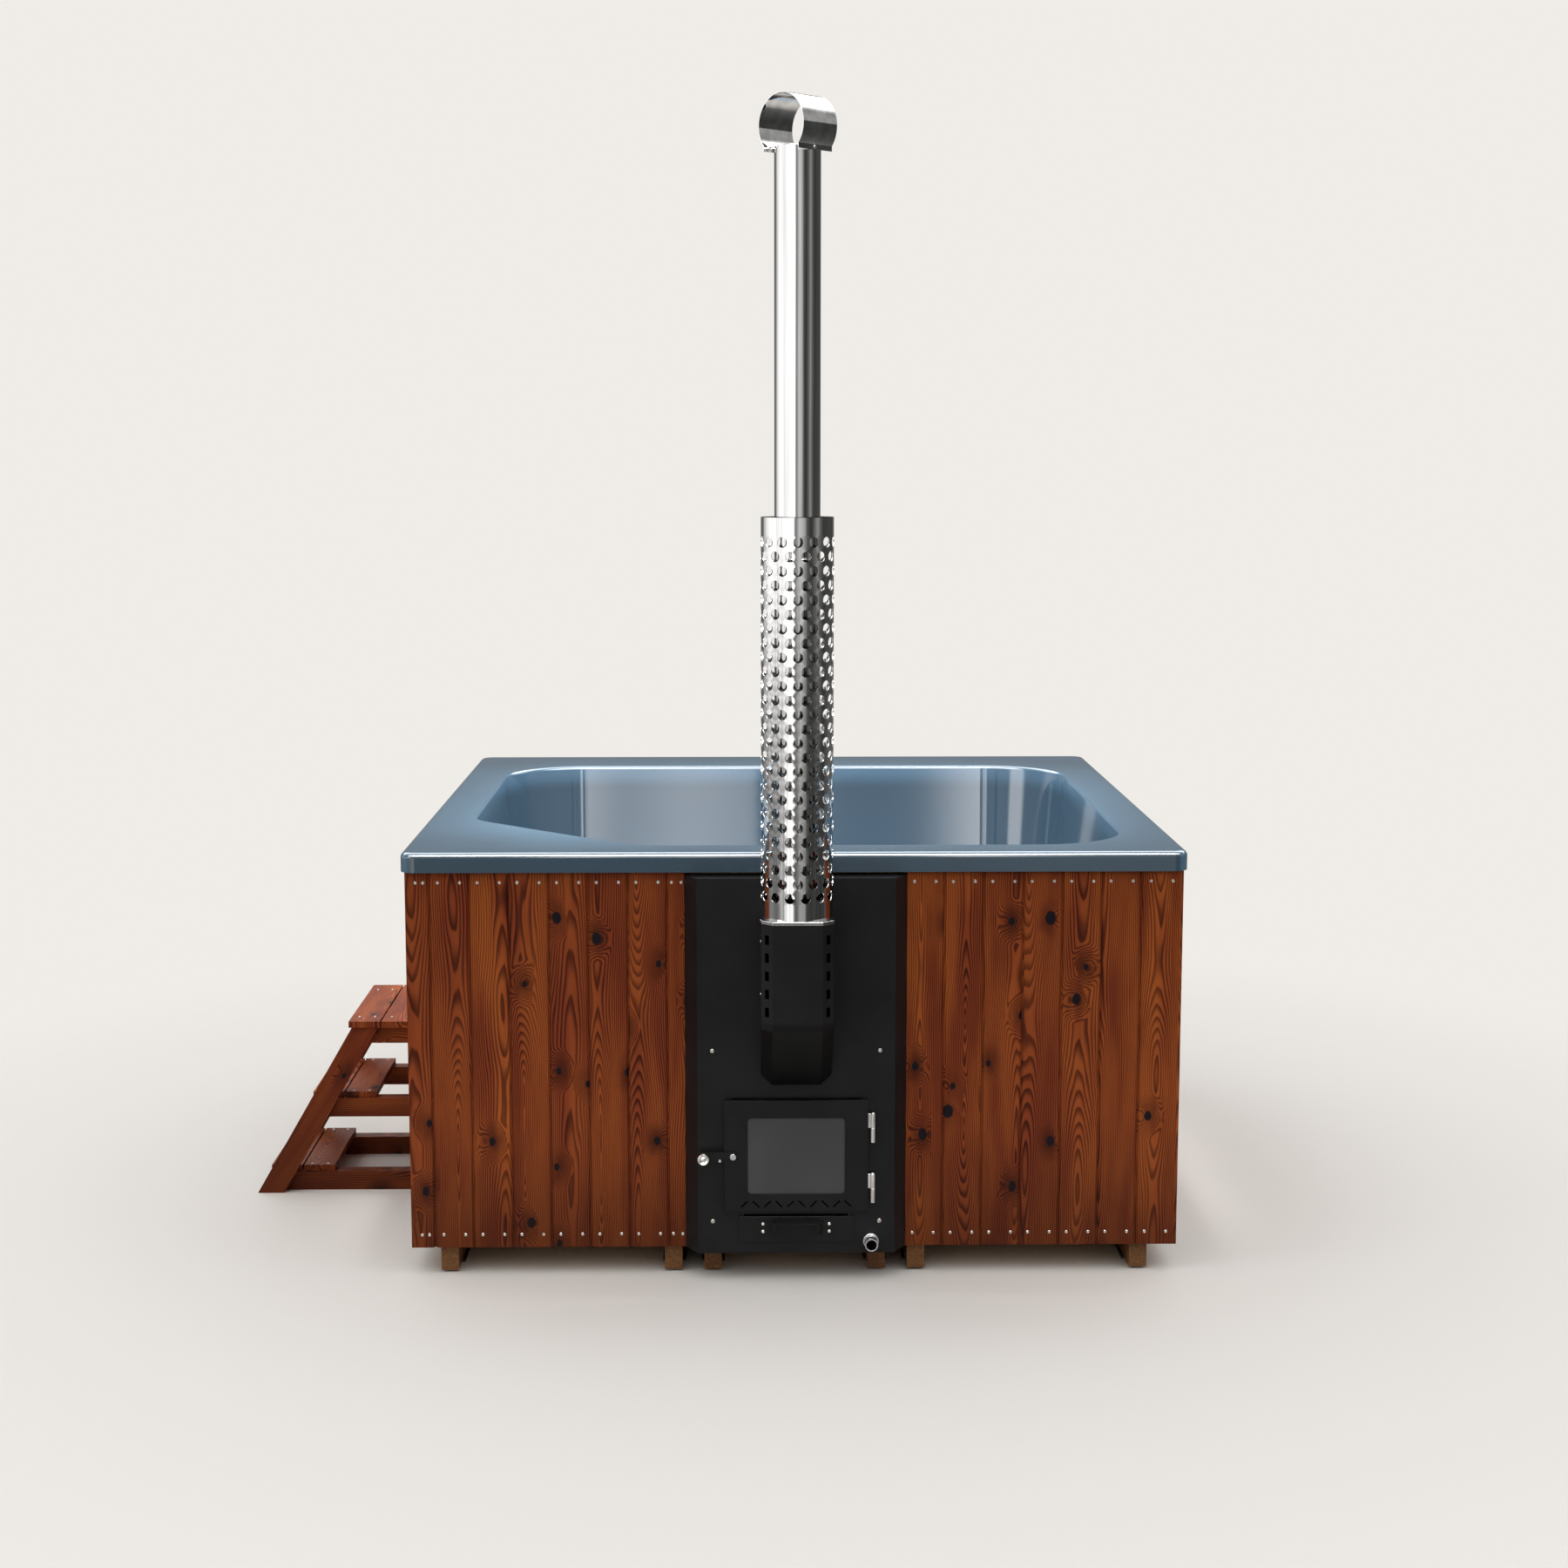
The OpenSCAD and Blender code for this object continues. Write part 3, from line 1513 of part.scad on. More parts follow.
module drain_waste() {
    y = waste_y + wall_y;
    seat = well_floor_z - shell_t;
    color([0.55, 0.56, 0.57])
        at_stove()
            translate([drain_x, y, 0])
                difference() {
                    union() {
                        translate([0, 0, waste_low])
                            cylinder(h = well_floor_z - waste_low, d = waste_d);
                        translate([0, 0, well_floor_z])
                            cylinder(h = waste_flange_t, d = waste_flange_d);
                    }
                    translate([0, 0, waste_low + waste_wall])
                        cylinder(h = seat - waste_low - waste_wall, d = waste_d - 2 * waste_wall);
                    translate([0, 0, waste_low + waste_wall])
                        cylinder(h = seat, d = plug_d + 2 * plug_clear);
                    bar_y(drain_d, 0, drain_z, -waste_d, 0);
                }
}

module drain_pipe() {
    end = waste_y + wall_y - waste_d / 2 + waste_wall;
    color([0.74, 0.74, 0.75])
        at_stove()
            difference() {
                union() {
                    bar_y(drain_end_d, drain_x, drain_z, -panel_out - drain_out, -panel_out);
                    bar_y(drain_d, drain_x, drain_z, -panel_out - drain_nut_t, end);
                }
                bar_y(2 * drain_bore, drain_x, drain_z, -panel_out - drain_out - over, end + over);
            }
}

module drain_nut() {
    color([0.74, 0.74, 0.75])
        at_stove()
            difference() {
                bar_y(drain_nut_d, drain_x, drain_z, -panel_out - drain_nut_t, -panel_out);
                bar_y(drain_d, drain_x, drain_z, -panel_out - drain_nut_t - over, over - panel_out);
            }
}

module drain_plug() {
    top = well_floor_z + waste_flange_t;
    color([0.12, 0.12, 0.13])
        translate([stove_x + drain_x, waste_y, 0]) {
            translate([0, 0, top - plug_h])
                cylinder(h = plug_h, d = plug_d);
            translate([0, 0, top])
                cylinder(h = plug_cap_h, d = plug_cap_d);
            translate([0, 0, top + plug_cap_h + plug_ring_d / 2])
                rotate([90, 0, 0])
                    rotate_extrude()
                        translate([plug_ring_d / 2, 0])
                            circle(r = plug_ring_t / 2);
            translate([0, 0, top + plug_cap_h])
                cylinder(h = plug_ring_t, d = 2 * plug_ring_t);
        }
}

// The front edge of a stringer at a height
function stringer_x(z) = steps_foot + z * lean;

module at_steps() {
    translate([0, steps_y, 0])
        children();
}

module step_stringers() {
    color([0.42, 0.19, 0.10])
        at_steps()
            for (y = [-steps_w / 2, steps_w / 2 - stringer_t])
                translate([0, y + stringer_t, 0])
                    rotate([90, 0, 0])
                        linear_extrude(height = stringer_t)
                            polygon([[stringer_x(0), 0], [stringer_x(0) + stringer_w, 0],
                                [stringer_x(steps_top) + stringer_w, steps_top], [stringer_x(steps_top), steps_top]]);
}

module step_rails() {
    color([0.42, 0.19, 0.10])
        at_steps()
            for (y = [-step_rail_y - step_rail_t, step_rail_y])
                for (i = [0:2]) {
                    z = i * step_rise;
                    x = stringer_x(z + step_rail_h) + over;
                    block([x, y, z], [-wall_y - post_w, y + step_rail_t, z + step_rail_h]);
                }
}

module step_posts() {
    color([0.42, 0.19, 0.10])
        at_steps()
            for (y = [-step_rail_y - step_rail_t, step_rail_y])
                block([-wall_y - post_w, y, 0], [-wall_y, y + step_rail_t, steps_top]);
}

// The front edge of tread i, and how far from the centre line it reaches
function tread_x(i) = i == 2 ? stringer_x(steps_top) - top_tread_in :
    stringer_x(i * step_rise) + tread_front_in;
function tread_half(i) = i == 2 ? steps_w / 2 + top_tread_over : steps_w / 2 - stringer_t - tread_in;
function tread_z(i) = i * step_rise + step_rail_h;

module step_screw_bars(d, l) {
    for (i = [0:2])
        for (board = [0, 1])
            for (side = [-1, 1])
                for (share = [head_share, 1 - head_share])
                    translate([tread_x(i) + board * (tread_w + tread_gap) + share * tread_w,
                        side * (step_rail_y + step_rail_t / 2), tread_z(i) + tread_t - l])
                        cylinder(h = l, d = d);
}

module step_treads() {
    color([0.50, 0.24, 0.12])
        at_steps()
            difference() {
                for (i = [0:2])
                    for (board = [0, 1]) {
                        x = tread_x(i) + board * (tread_w + tread_gap);
                        block([x, -tread_half(i), tread_z(i)], [x + tread_w, tread_half(i), tread_z(i) + tread_t]);
                    }
                step_screw_bars(step_screw_d, clad_head_h);
                step_screw_bars(clad_shank_d, step_screw_l);
            }
}

module step_screws() {
    color([0.58, 0.57, 0.55])
        at_steps() {
            step_screw_bars(step_screw_d, clad_head_h);
            step_screw_bars(clad_shank_d, tread_t);
        }
}

joist_pads();
base_joists();
floor_board();
floor_insulation();
bottom_rails();
frame_posts();
top_rails();
seat_posts();
tub_shell();
cladding_front_left();
cladding_front_right();
cladding_left();
cladding_right();
cladding_back();
cladding_screws();
stove_panel();
panel_screws();
firebox();
water_jacket();
fire_grate();
circulation_pipes();
circulation_grilles();
door_panel();
door_glass();
glass_retainer();
retainer_screws();
door_seal();
door_hinge_knuckles();
panel_hinge_knuckles();
hinge_pins();
latch_arm();
latch_knob();
latch_bolt();
catch_stud();
ash_tray();
drawer_front();
drawer_handle();
handle_screws();
flue_elbow();
flue_pipe_lower();
flue_pipe_upper();
flue_housing();
housing_screws();
housing_collar();
heat_guard();
guard_spacers();
chimney_cap();
cap_rivets();
drain_waste();
drain_pipe();
drain_nut();
drain_plug();
step_stringers();
step_rails();
step_posts();
step_treads();
step_screws();
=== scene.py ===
import math

import bmesh
import bpy
from mathutils import Matrix, Vector


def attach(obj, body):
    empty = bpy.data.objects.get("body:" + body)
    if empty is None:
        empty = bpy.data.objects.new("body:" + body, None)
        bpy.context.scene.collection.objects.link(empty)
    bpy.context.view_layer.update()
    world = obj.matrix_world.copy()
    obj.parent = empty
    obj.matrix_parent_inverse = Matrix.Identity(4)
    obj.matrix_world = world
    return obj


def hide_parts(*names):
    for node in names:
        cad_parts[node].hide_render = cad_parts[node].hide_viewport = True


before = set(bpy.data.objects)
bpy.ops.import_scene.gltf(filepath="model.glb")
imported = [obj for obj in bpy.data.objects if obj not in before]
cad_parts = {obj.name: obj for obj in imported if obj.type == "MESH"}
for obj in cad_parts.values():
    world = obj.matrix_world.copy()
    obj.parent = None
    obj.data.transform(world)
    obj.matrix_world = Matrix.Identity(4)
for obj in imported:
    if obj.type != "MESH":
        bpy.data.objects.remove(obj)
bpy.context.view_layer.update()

# Base joists and their pads
# Sawn softwood joists on rubber pads carry the whole tub. Their ends show
# under the cladding, stained by the ground to a dull yellow brown.


def new_finish(name, rough, metal=0.0, gloss=0.5):
    material = bpy.data.materials.new(name)
    material.use_nodes = True
    shader = material.node_tree.nodes["Principled BSDF"]
    shader.inputs["Roughness"].default_value = rough
    shader.inputs["Metallic"].default_value = metal
    shader.inputs["Specular IOR Level"].default_value = gloss
    return material, material.node_tree, shader


def add(tree, kind, inputs=None, **settings):
    """A shader node of the kind; an input that is given a socket is linked to it."""
    node = tree.nodes.new("ShaderNode" + kind)
    for key, value in settings.items():
        setattr(node, key, value)
    for key, value in (inputs or {}).items():
        if isinstance(value, bpy.types.NodeSocket):
            tree.links.new(value, node.inputs[key])
        else:
            node.inputs[key].default_value = value
    return node


def object_place(tree):
    return add(tree, "TexCoord").outputs["Object"]


def maths(tree, operation, a, b=0.0, c=0.0):
    return add(tree, "Math", {0: a, 1: b, 2: c}, operation=operation).outputs[0]


def fade(tree, value, low, high, start=0.0, end=1.0):
    """Start below the low value and end above the high one, with a smooth change between them."""
    ranged = add(tree, "MapRange", {"Value": value, "From Min": low, "From Max": high,
                                    "To Min": start, "To Max": end}, interpolation_type="SMOOTHSTEP")
    return ranged.outputs["Result"]


def blend_colour(tree, share, a, b):
    mix = add(tree, "Mix", data_type="RGBA")
    for socket, value in ((mix.inputs[0], share), (mix.inputs[6], a), (mix.inputs[7], b)):
        if isinstance(value, bpy.types.NodeSocket):
            tree.links.new(value, socket)
        else:
            socket.default_value = value
    return mix.outputs[2]


def linear(red, green, blue):
    """A colour as it looks on a screen, 0 to 255, as the linear colour that a shader takes."""
    return tuple(((c / 255 + 0.055) / 1.055) ** 2.4 if c > 10 else c / 255 / 12.92
                 for c in (red, green, blue)) + (1.0,)


def relief(tree, shader, height, depth):
    """Fine relief in the pattern of height, as deep as depth says in metres."""
    bump = add(tree, "Bump", {"Height": height, "Distance": depth, "Strength": 1.0})
    tree.links.new(bump.outputs["Normal"], shader.inputs["Normal"])
    return bump


def stretched(tree, position, scale):
    return add(tree, "Mapping", {"Vector": position, "Scale": scale}).outputs["Vector"]


def noise(tree, position, scale, detail=3.0, rough=0.55):
    return add(tree, "TexNoise", {"Vector": position, "Scale": scale, "Detail": detail,
                                  "Roughness": rough}).outputs["Fac"]


def sawn_timber(name, light, dark, grain):
    material, tree, shader = new_finish(name, 0.75)
    position = object_place(tree)
    fibres = noise(tree, stretched(tree, position, grain), 1.0, 6.0, 0.65)
    stains = noise(tree, position, 9.0, 3.0)
    tone = blend_colour(tree, fade(tree, fibres, 0.32, 0.68), dark, light)
    tone = blend_colour(tree, fade(tree, stains, 0.45, 0.75, 0.0, 0.55), tone, dark)
    tree.links.new(tone, shader.inputs["Base Color"])
    relief(tree, shader, fibres, 0.0006)
    return material


def paint_node(material, *names):
    """Gives the material to solids of the CAD that are shown as they are."""
    for name in names:
        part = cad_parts[name]
        part.data.materials.clear()
        part.data.materials.append(material)


paint_node(sawn_timber("joist_timber", linear(132, 84, 33), linear(62, 36, 12), (260, 12, 260)), "base_joists")


def moulded_rubber(name, colour, grain):
    material, tree, shader = new_finish(name, 0.7)
    position = object_place(tree)
    dust = noise(tree, position, 35.0, 4.0)
    tree.links.new(blend_colour(tree, fade(tree, dust, 0.4, 0.8, 0.0, 0.5), colour, linear(62, 60, 57)),
                   shader.inputs["Base Color"])
    relief(tree, shader, noise(tree, position, grain, 2.0), 0.0003)
    return material


paint_node(moulded_rubber("pad_rubber", linear(26, 26, 26), 900.0), "joist_pads")

# Floor board, insulation and inner frame
# A plywood floor lies on the joists, with foam boards under the foot well.
# Planed posts and rails stand on it, nailed at their ends, and carry rim, seats and planks.

paint_node(sawn_timber("floor_ply", linear(196, 160, 112), linear(150, 112, 70), (14, 180, 180)), "floor_board")
paint_node(sawn_timber("rail_timber", linear(206, 172, 122), linear(168, 126, 78), (60, 60, 60)),
           "bottom_rails", "top_rails")
paint_node(sawn_timber("post_timber", linear(206, 172, 122), linear(166, 124, 76), (220, 220, 9)),
           "frame_posts", "seat_posts")

foam, foam_tree, foam_shader = new_finish("foam_board", 0.9)
foam_cells = add(foam_tree, "TexVoronoi", {"Vector": object_place(foam_tree), "Scale": 320.0})
foam_tone = blend_colour(foam_tree, foam_cells.outputs["Distance"], linear(226, 214, 168), linear(196, 182, 132))
foam_tree.links.new(foam_tone, foam_shader.inputs["Base Color"])
relief(foam_tree, foam_shader, foam_cells.outputs["Distance"], 0.0008)
paint_node(foam, "floor_insulation")

# Moulded tub shell
# One fibreglass moulding, 8 mm thick, with a slate blue gel coat. It makes the rim with its
# hanging lip, the sloping walls, the seat all round and the foot well, and rests on the rails.

RIM, RIM_TOP, LIP, RIM_CORNER, RIM_EDGE = 2.0, 1.103, 0.050, 0.040, 0.014
SEAT, WELL_FLOOR, LAMINATE, SLOPE = 0.690, 0.147, 0.008, math.tan(math.radians(5))
BASIN_ROUND, SEAT_FILLET, WELL_ROUND, FLOOR_FILLET, FLAT_EDGE = 0.010, 0.055, 0.028, 0.045, 0.003
BASIN_X, BASIN_FRONT, BASIN_BACK, BASIN_CORNER = 0.872, -0.868, 0.732, 0.24
# The front left corner is cut off at 45 degrees; CUT_SHARE is the tangent of half that angle
CUT_X, CUT_Y, CUT_CORNER, CUT_SHARE = -0.410, -0.406, 0.15, 0.414
WELL_X, WELL_FRONT, WELL_BACK, WELL_CORNER = 0.48, -0.46, 0.352, 0.12


def outline(bm, corners, z):
    """A flat face with round corners, each given as x, y, radius and turn in degrees."""
    others = set(bm.faces)
    face = bm.faces.new([bm.verts.new((x, y, z)) for x, y, r, turn in corners])
    for vert, (x, y, r, turn) in zip(list(face.verts), corners):
        bmesh.ops.bevel(bm, geom=[vert], offset=r * math.tan(math.radians(turn / 2)), offset_type="OFFSET",
                        affect="VERTICES", segments=10, profile=0.5, material=-1, clamp_overlap=False)
    return max((f for f in bm.faces if f not in others), key=lambda f: f.calc_area())


def step_in(bm, face, inward, down):
    bmesh.ops.inset_individual(bm, faces=[face], thickness=inward, depth=-down, use_even_offset=True)


def rounded_step(bm, face, radius, convex, steps=6):
    """Turns from flat to steep over a round edge (convex), or from steep to flat in a fillet."""
    turns = [math.radians(90 * i / steps) for i in range(steps + 1)]
    for a, b in zip(turns, turns[1:]):
        if convex:
            step_in(bm, face, radius * (math.sin(b) - math.sin(a)), radius * (math.cos(a) - math.cos(b)))
        else:
            step_in(bm, face, radius * (math.cos(a) - math.cos(b)), radius * (math.sin(b) - math.sin(a)))


def steep_wall(bm, face, depth):
    parts = 6
    for _ in range(parts):
        step_in(bm, face, depth / parts * SLOPE, depth / parts)


def open_deck(bm, around, inside):
    """Takes away the face around and fills the ring between its edge and the edge of the face inside."""
    edges = list(around.edges) + list(inside.edges)
    bmesh.ops.delete(bm, geom=[around], context="FACES_ONLY")
    bmesh.ops.triangle_fill(bm, use_beauty=True, edges=edges, normal=(0, 0, 1))


def piece(name, bm, body, material, stands_for, sharp):
    """Makes a finished mesh object of a bmesh, with edges sharper than the angle left crisp."""
    for face in bm.faces:
        face.smooth = True
    for edge in bm.edges:
        edge.smooth = len(edge.link_faces) == 2 and edge.calc_face_angle(0.0) < math.radians(sharp)
    mesh = bpy.data.meshes.new(name)
    bm.to_mesh(mesh)
    bm.free()
    mesh.materials.append(material)
    thing = bpy.data.objects.new(name, mesh)
    bpy.context.scene.collection.objects.link(thing)
    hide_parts(*stands_for)
    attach(thing, body)
    return thing


half = RIM / 2
shell_bm = bmesh.new()
rim_face = outline(shell_bm, [(-half, -half, RIM_CORNER, 90), (half, -half, RIM_CORNER, 90),
                              (half, half, RIM_CORNER, 90), (-half, half, RIM_CORNER, 90)], RIM_TOP - LIP)
step_in(shell_bm, rim_face, 0.0, -(LIP - RIM_EDGE))
for i in range(6):
    a, b = math.radians(15 * i), math.radians(15 * i + 15)
    step_in(shell_bm, rim_face, RIM_EDGE * (math.cos(a) - math.cos(b)), -RIM_EDGE * (math.sin(b) - math.sin(a)))
step_in(shell_bm, rim_face, FLAT_EDGE, 0.0)
wider = BASIN_ROUND + FLAT_EDGE
cut_wider = wider * CUT_SHARE
basin_face = outline(shell_bm, [
    (BASIN_X + wider, BASIN_FRONT - wider, BASIN_CORNER + wider, 90),
    (BASIN_X + wider, BASIN_BACK + wider, BASIN_CORNER + wider, 90),
    (-BASIN_X - wider, BASIN_BACK + wider, BASIN_CORNER + wider, 90),
    (-BASIN_X - wider, CUT_Y - cut_wider, CUT_CORNER + wider, 45),
    (CUT_X - cut_wider, BASIN_FRONT - wider, CUT_CORNER + wider, 45)], RIM_TOP)
open_deck(shell_bm, rim_face, basin_face)
step_in(shell_bm, basin_face, FLAT_EDGE, 0.0)
rounded_step(shell_bm, basin_face, BASIN_ROUND, True)
steep_wall(shell_bm, basin_face, RIM_TOP - BASIN_ROUND - SEAT - SEAT_FILLET)
rounded_step(shell_bm, basin_face, SEAT_FILLET, False, 8)
step_in(shell_bm, basin_face, FLAT_EDGE, 0.0)
wider = WELL_ROUND + FLAT_EDGE
well_face = outline(shell_bm, [
    (-WELL_X - wider, WELL_FRONT - wider, WELL_CORNER + wider, 90),
    (WELL_X + wider, WELL_FRONT - wider, WELL_CORNER + wider, 90),
    (WELL_X + wider, WELL_BACK + wider, WELL_CORNER + wider, 90),
    (-WELL_X - wider, WELL_BACK + wider, WELL_CORNER + wider, 90)], SEAT)
open_deck(shell_bm, basin_face, well_face)
step_in(shell_bm, well_face, FLAT_EDGE, 0.0)
rounded_step(shell_bm, well_face, WELL_ROUND, True)
steep_wall(shell_bm, well_face, SEAT - WELL_ROUND - WELL_FLOOR - FLOOR_FILLET)
rounded_step(shell_bm, well_face, FLOOR_FILLET, False, 8)
bmesh.ops.remove_doubles(shell_bm, verts=shell_bm.verts, dist=1e-5)
bmesh.ops.recalc_face_normals(shell_bm, faces=shell_bm.faces)

gel_coat, gel_tree, gel_shader = new_finish("gel_coat", 0.08)
gel_place = object_place(gel_tree)
gel_x, gel_y, gel_z = add(gel_tree, "SeparateXYZ", {"Vector": gel_place}).outputs
gel_out = maths(gel_tree, "MAXIMUM", maths(gel_tree, "ABSOLUTE", gel_x), maths(gel_tree, "ABSOLUTE", gel_y))
gel_tone = blend_colour(gel_tree, fade(gel_tree, noise(gel_tree, gel_place, 2.2, 2.0), 0.3, 0.7),
                        linear(100, 134, 160), linear(107, 144, 170))
# Painted shade: the basin's walls below the rim and the hanging lip are painted darker than the rim top, for the
# shade they get under light from above
gel_inside = fade(gel_tree, gel_out, half - 0.02, half - 0.06)
gel_wall_shade = fade(gel_tree, gel_z, RIM_TOP - 0.008, RIM_TOP - 0.073, 0.0, 0.9)
gel_tone = blend_colour(gel_tree, maths(gel_tree, "MULTIPLY", gel_wall_shade, gel_inside), gel_tone, linear(67, 91, 109))
# Painted shade on the hanging lip, which faces forward away from the light above
gel_lip_shade = fade(gel_tree, gel_out, half - 0.008, half - 0.001, 0.0, 0.8)
gel_tone = blend_colour(gel_tree, gel_lip_shade, gel_tone, linear(65, 83, 96))
gel_tree.links.new(gel_tone, gel_shader.inputs["Base Color"])
gel_shader.inputs["Coat Weight"].default_value = 0.6
gel_shader.inputs["Coat Roughness"].default_value = 0.05
# Inside the basin the normal leans up a little, so that the steep walls mirror the room over the far rim
WALL_LEAN = 0.14
gel_lean = add(gel_tree, "CombineXYZ", {"Z": maths(gel_tree, "MULTIPLY", gel_inside, WALL_LEAN)}).outputs[0]
gel_flat = add(gel_tree, "TexCoord").outputs["Normal"]
gel_leaning = add(gel_tree, "VectorMath", {0: gel_flat, 1: gel_lean}, operation="ADD").outputs[0]
gel_normal = add(gel_tree, "VectorMath", {0: gel_leaning}, operation="NORMALIZE").outputs[0]
gel_bump = relief(gel_tree, gel_shader, noise(gel_tree, gel_place, 40.0, 2.0), 0.00004)
gel_tree.links.new(gel_normal, gel_bump.inputs["Normal"])
gel_tree.links.new(gel_normal, gel_shader.inputs["Coat Normal"])

shell = piece("tub_moulding", shell_bm, "tub", gel_coat, ["tub_shell"], 40.0)
laminate = shell.modifiers.new("laminate", "SOLIDIFY")
laminate.thickness = LAMINATE
laminate.offset = -1.0
laminate.use_even_offset = True
shell.modifiers.new("even_light", "WEIGHTED_NORMAL").keep_sharp = True

# Cladding planks
# Tongued and grooved softwood boards stand side by side round the box, screwed to the rails.
# A red brown oil stain leaves the knots and the late wood nearly black.


# Knot places to a metre across and along, the share of them left empty, and the hearts' least and added radius
KNOTS_ACROSS, KNOTS_ALONG, KNOT_GAPS, KNOT_LEAST, KNOT_ADDED = 12.0, 3.9, 0.60, 0.0082, 0.0072
# Rings to a metre, and how many of them the warp and a knot push a ring aside
RINGS, RING_WARP, RING_PUSH = 235.0, 5.5, 6.5


def distance(tree, a, b):
    return maths(tree, "SQRT", maths(tree, "ADD", maths(tree, "MULTIPLY", a, a), maths(tree, "MULTIPLY", b, b)))


def stained_planks(name, turn, start, pitch, seed, tone_up=1.0):
    """Stained knotty softwood. turn lays the boards' width, thickness and length on X, Y and Z, and the
    boards follow each other across from start. The seed picks other boards, and tone_up makes them lighter."""
    material, tree, shader = new_finish(name, 0.5, gloss=0.07)
    upright = add(tree, "Mapping", {"Vector": object_place(tree),
                                    "Rotation": tuple(math.radians(a) for a in turn)}).outputs["Vector"]
    across, depth, length = add(tree, "SeparateXYZ", {"Vector": upright}).outputs
    board = maths(tree, "FLOOR", maths(tree, "DIVIDE", maths(tree, "SUBTRACT", across, start), pitch))
    chance = add(tree, "TexWhiteNoise", {"W": maths(tree, "ADD", board, seed)}, noise_dimensions="1D")
    own = add(tree, "SeparateColor", {"Color": chance.outputs["Color"]})
    shift = maths(tree, "MULTIPLY", chance.outputs["Value"], 37.0)
    middle = maths(tree, "MULTIPLY_ADD", maths(tree, "ADD", board, own.outputs[1]), pitch, start)
    # Knots: at most one to each stretch of a board, measured in metres so that they stay round
    cell = add(tree, "CombineXYZ", {"X": maths(tree, "MULTIPLY", across, KNOTS_ACROSS),
                                    "Y": maths(tree, "MULTIPLY_ADD", length, KNOTS_ALONG, shift)})
    knots = add(tree, "TexVoronoi", {"Vector": cell.outputs[0], "Scale": 1.0, "Randomness": 1.0},
                voronoi_dimensions="2D")
    luck = add(tree, "SeparateColor", {"Color": knots.outputs["Color"]})
    heart_place = add(tree, "SeparateXYZ", {"Vector": knots.outputs["Position"]})
    off_x = maths(tree, "SUBTRACT", across, maths(tree, "DIVIDE", heart_place.outputs[0], KNOTS_ACROSS))
    heart_z = maths(tree, "DIVIDE", maths(tree, "SUBTRACT", heart_place.outputs[1], shift), KNOTS_ALONG)
    off_z = maths(tree, "MULTIPLY", maths(tree, "SUBTRACT", length, heart_z), math.sqrt(0.5))
    ragged = noise(tree, stretched(tree, upright, (120, 120, 90)), 1.0)
    reach = maths(tree, "MULTIPLY_ADD", ragged, 0.005, distance(tree, off_x, off_z))
    kept = maths(tree, "GREATER_THAN", luck.outputs[0], KNOT_GAPS)
    size = maths(tree, "MULTIPLY", luck.outputs[1], luck.outputs[1])
    size = maths(tree, "MULTIPLY", maths(tree, "MULTIPLY_ADD", size, KNOT_ADDED, KNOT_LEAST), kept)
    near = maths(tree, "MULTIPLY", fade(tree, reach, 0.050, 0.006), kept)
    # Rings: the board cuts a trunk whose heart lies a little behind it, nearer in some places than in others
    heart_off = maths(tree, "SUBTRACT", across, middle)
    slow_place = add(tree, "CombineXYZ", {"X": shift, "Z": maths(tree, "MULTIPLY", length, 1.1)})
    behind = maths(tree, "MULTIPLY_ADD", noise(tree, slow_place.outputs[0], 1.0, 1.0), 0.17, -0.055)
    warp_place = add(tree, "CombineXYZ", {"X": maths(tree, "MULTIPLY_ADD", across, 16.0, shift),
                                          "Y": maths(tree, "MULTIPLY", depth, 16.0),
                                          "Z": maths(tree, "MULTIPLY", length, 2.4)})
    warp = noise(tree, warp_place.outputs[0], 1.0, 2.0, 0.45)
    rings = maths(tree, "MULTIPLY_ADD", distance(tree, heart_off, behind), RINGS,
                  maths(tree, "MULTIPLY", warp, RING_WARP))
    wave = maths(tree, "FRACT", maths(tree, "MULTIPLY_ADD", near, RING_PUSH, rings))
    late = maths(tree, "MULTIPLY", fade(tree, wave, 0.25, 0.82), fade(tree, wave, 1.0, 0.88))
    fibre_place = add(tree, "CombineXYZ", {"X": maths(tree, "MULTIPLY", across, 900.0),
                                           "Y": maths(tree, "MULTIPLY", depth, 900.0),
                                           "Z": maths(tree, "MULTIPLY_ADD", length, 14.0, shift)})
    fibres = noise(tree, fibre_place.outputs[0], 1.0, 3.0, 0.6)
    cloud_place = add(tree, "CombineXYZ", {"X": maths(tree, "MULTIPLY", across, 16.0), "Y": shift,
                                           "Z": maths(tree, "MULTIPLY", length, 2.2)})
    clouds = noise(tree, cloud_place.outputs[0], 1.0, 2.0)
    # Tones: cloudy stain, each board's own shade, fibres and late wood, then a dark halo and a black heart to
    # each knot, and painted shade that darkens the boards toward the ground
    tone = blend_colour(tree, fade(tree, clouds, 0.30, 0.66), linear(151 * tone_up, 70 * tone_up, 38 * tone_up),
                        linear(189 * tone_up, 100 * tone_up, 47 * tone_up))
    tone = blend_colour(tree, maths(tree, "MULTIPLY", own.outputs[0], 0.45), tone, linear(136, 61, 38))
    tone = blend_colour(tree, fade(tree, fibres, 0.35, 0.75, 0.0, 0.30), tone, linear(111, 50, 30))
    strength = fade(tree, clouds, 0.25, 0.75, 0.95, 0.6)
    tone = blend_colour(tree, maths(tree, "MULTIPLY", late, strength), tone, linear(58, 23, 18))
    smudge = noise(tree, stretched(tree, upright, (14, 14, 7)), 1.0, 2.0)
    halo = maths(tree, "MULTIPLY", near, fade(tree, smudge, 0.40, 0.62, 0.35, 0.85))
    tone = blend_colour(tree, halo, tone, linear(66, 29, 19))
    edge = maths(tree, "SUBTRACT", reach, size)
    heart = maths(tree, "MULTIPLY", fade(tree, edge, 0.0022, -0.0012), kept)
    tone = blend_colour(tree, heart, tone, linear(27, 24, 30))
    # Painted shade: darker toward the ground, for the shade at the foot of the boards and steps
    height_up = add(tree, "SeparateXYZ", {"Vector": object_place(tree)}).outputs[2]
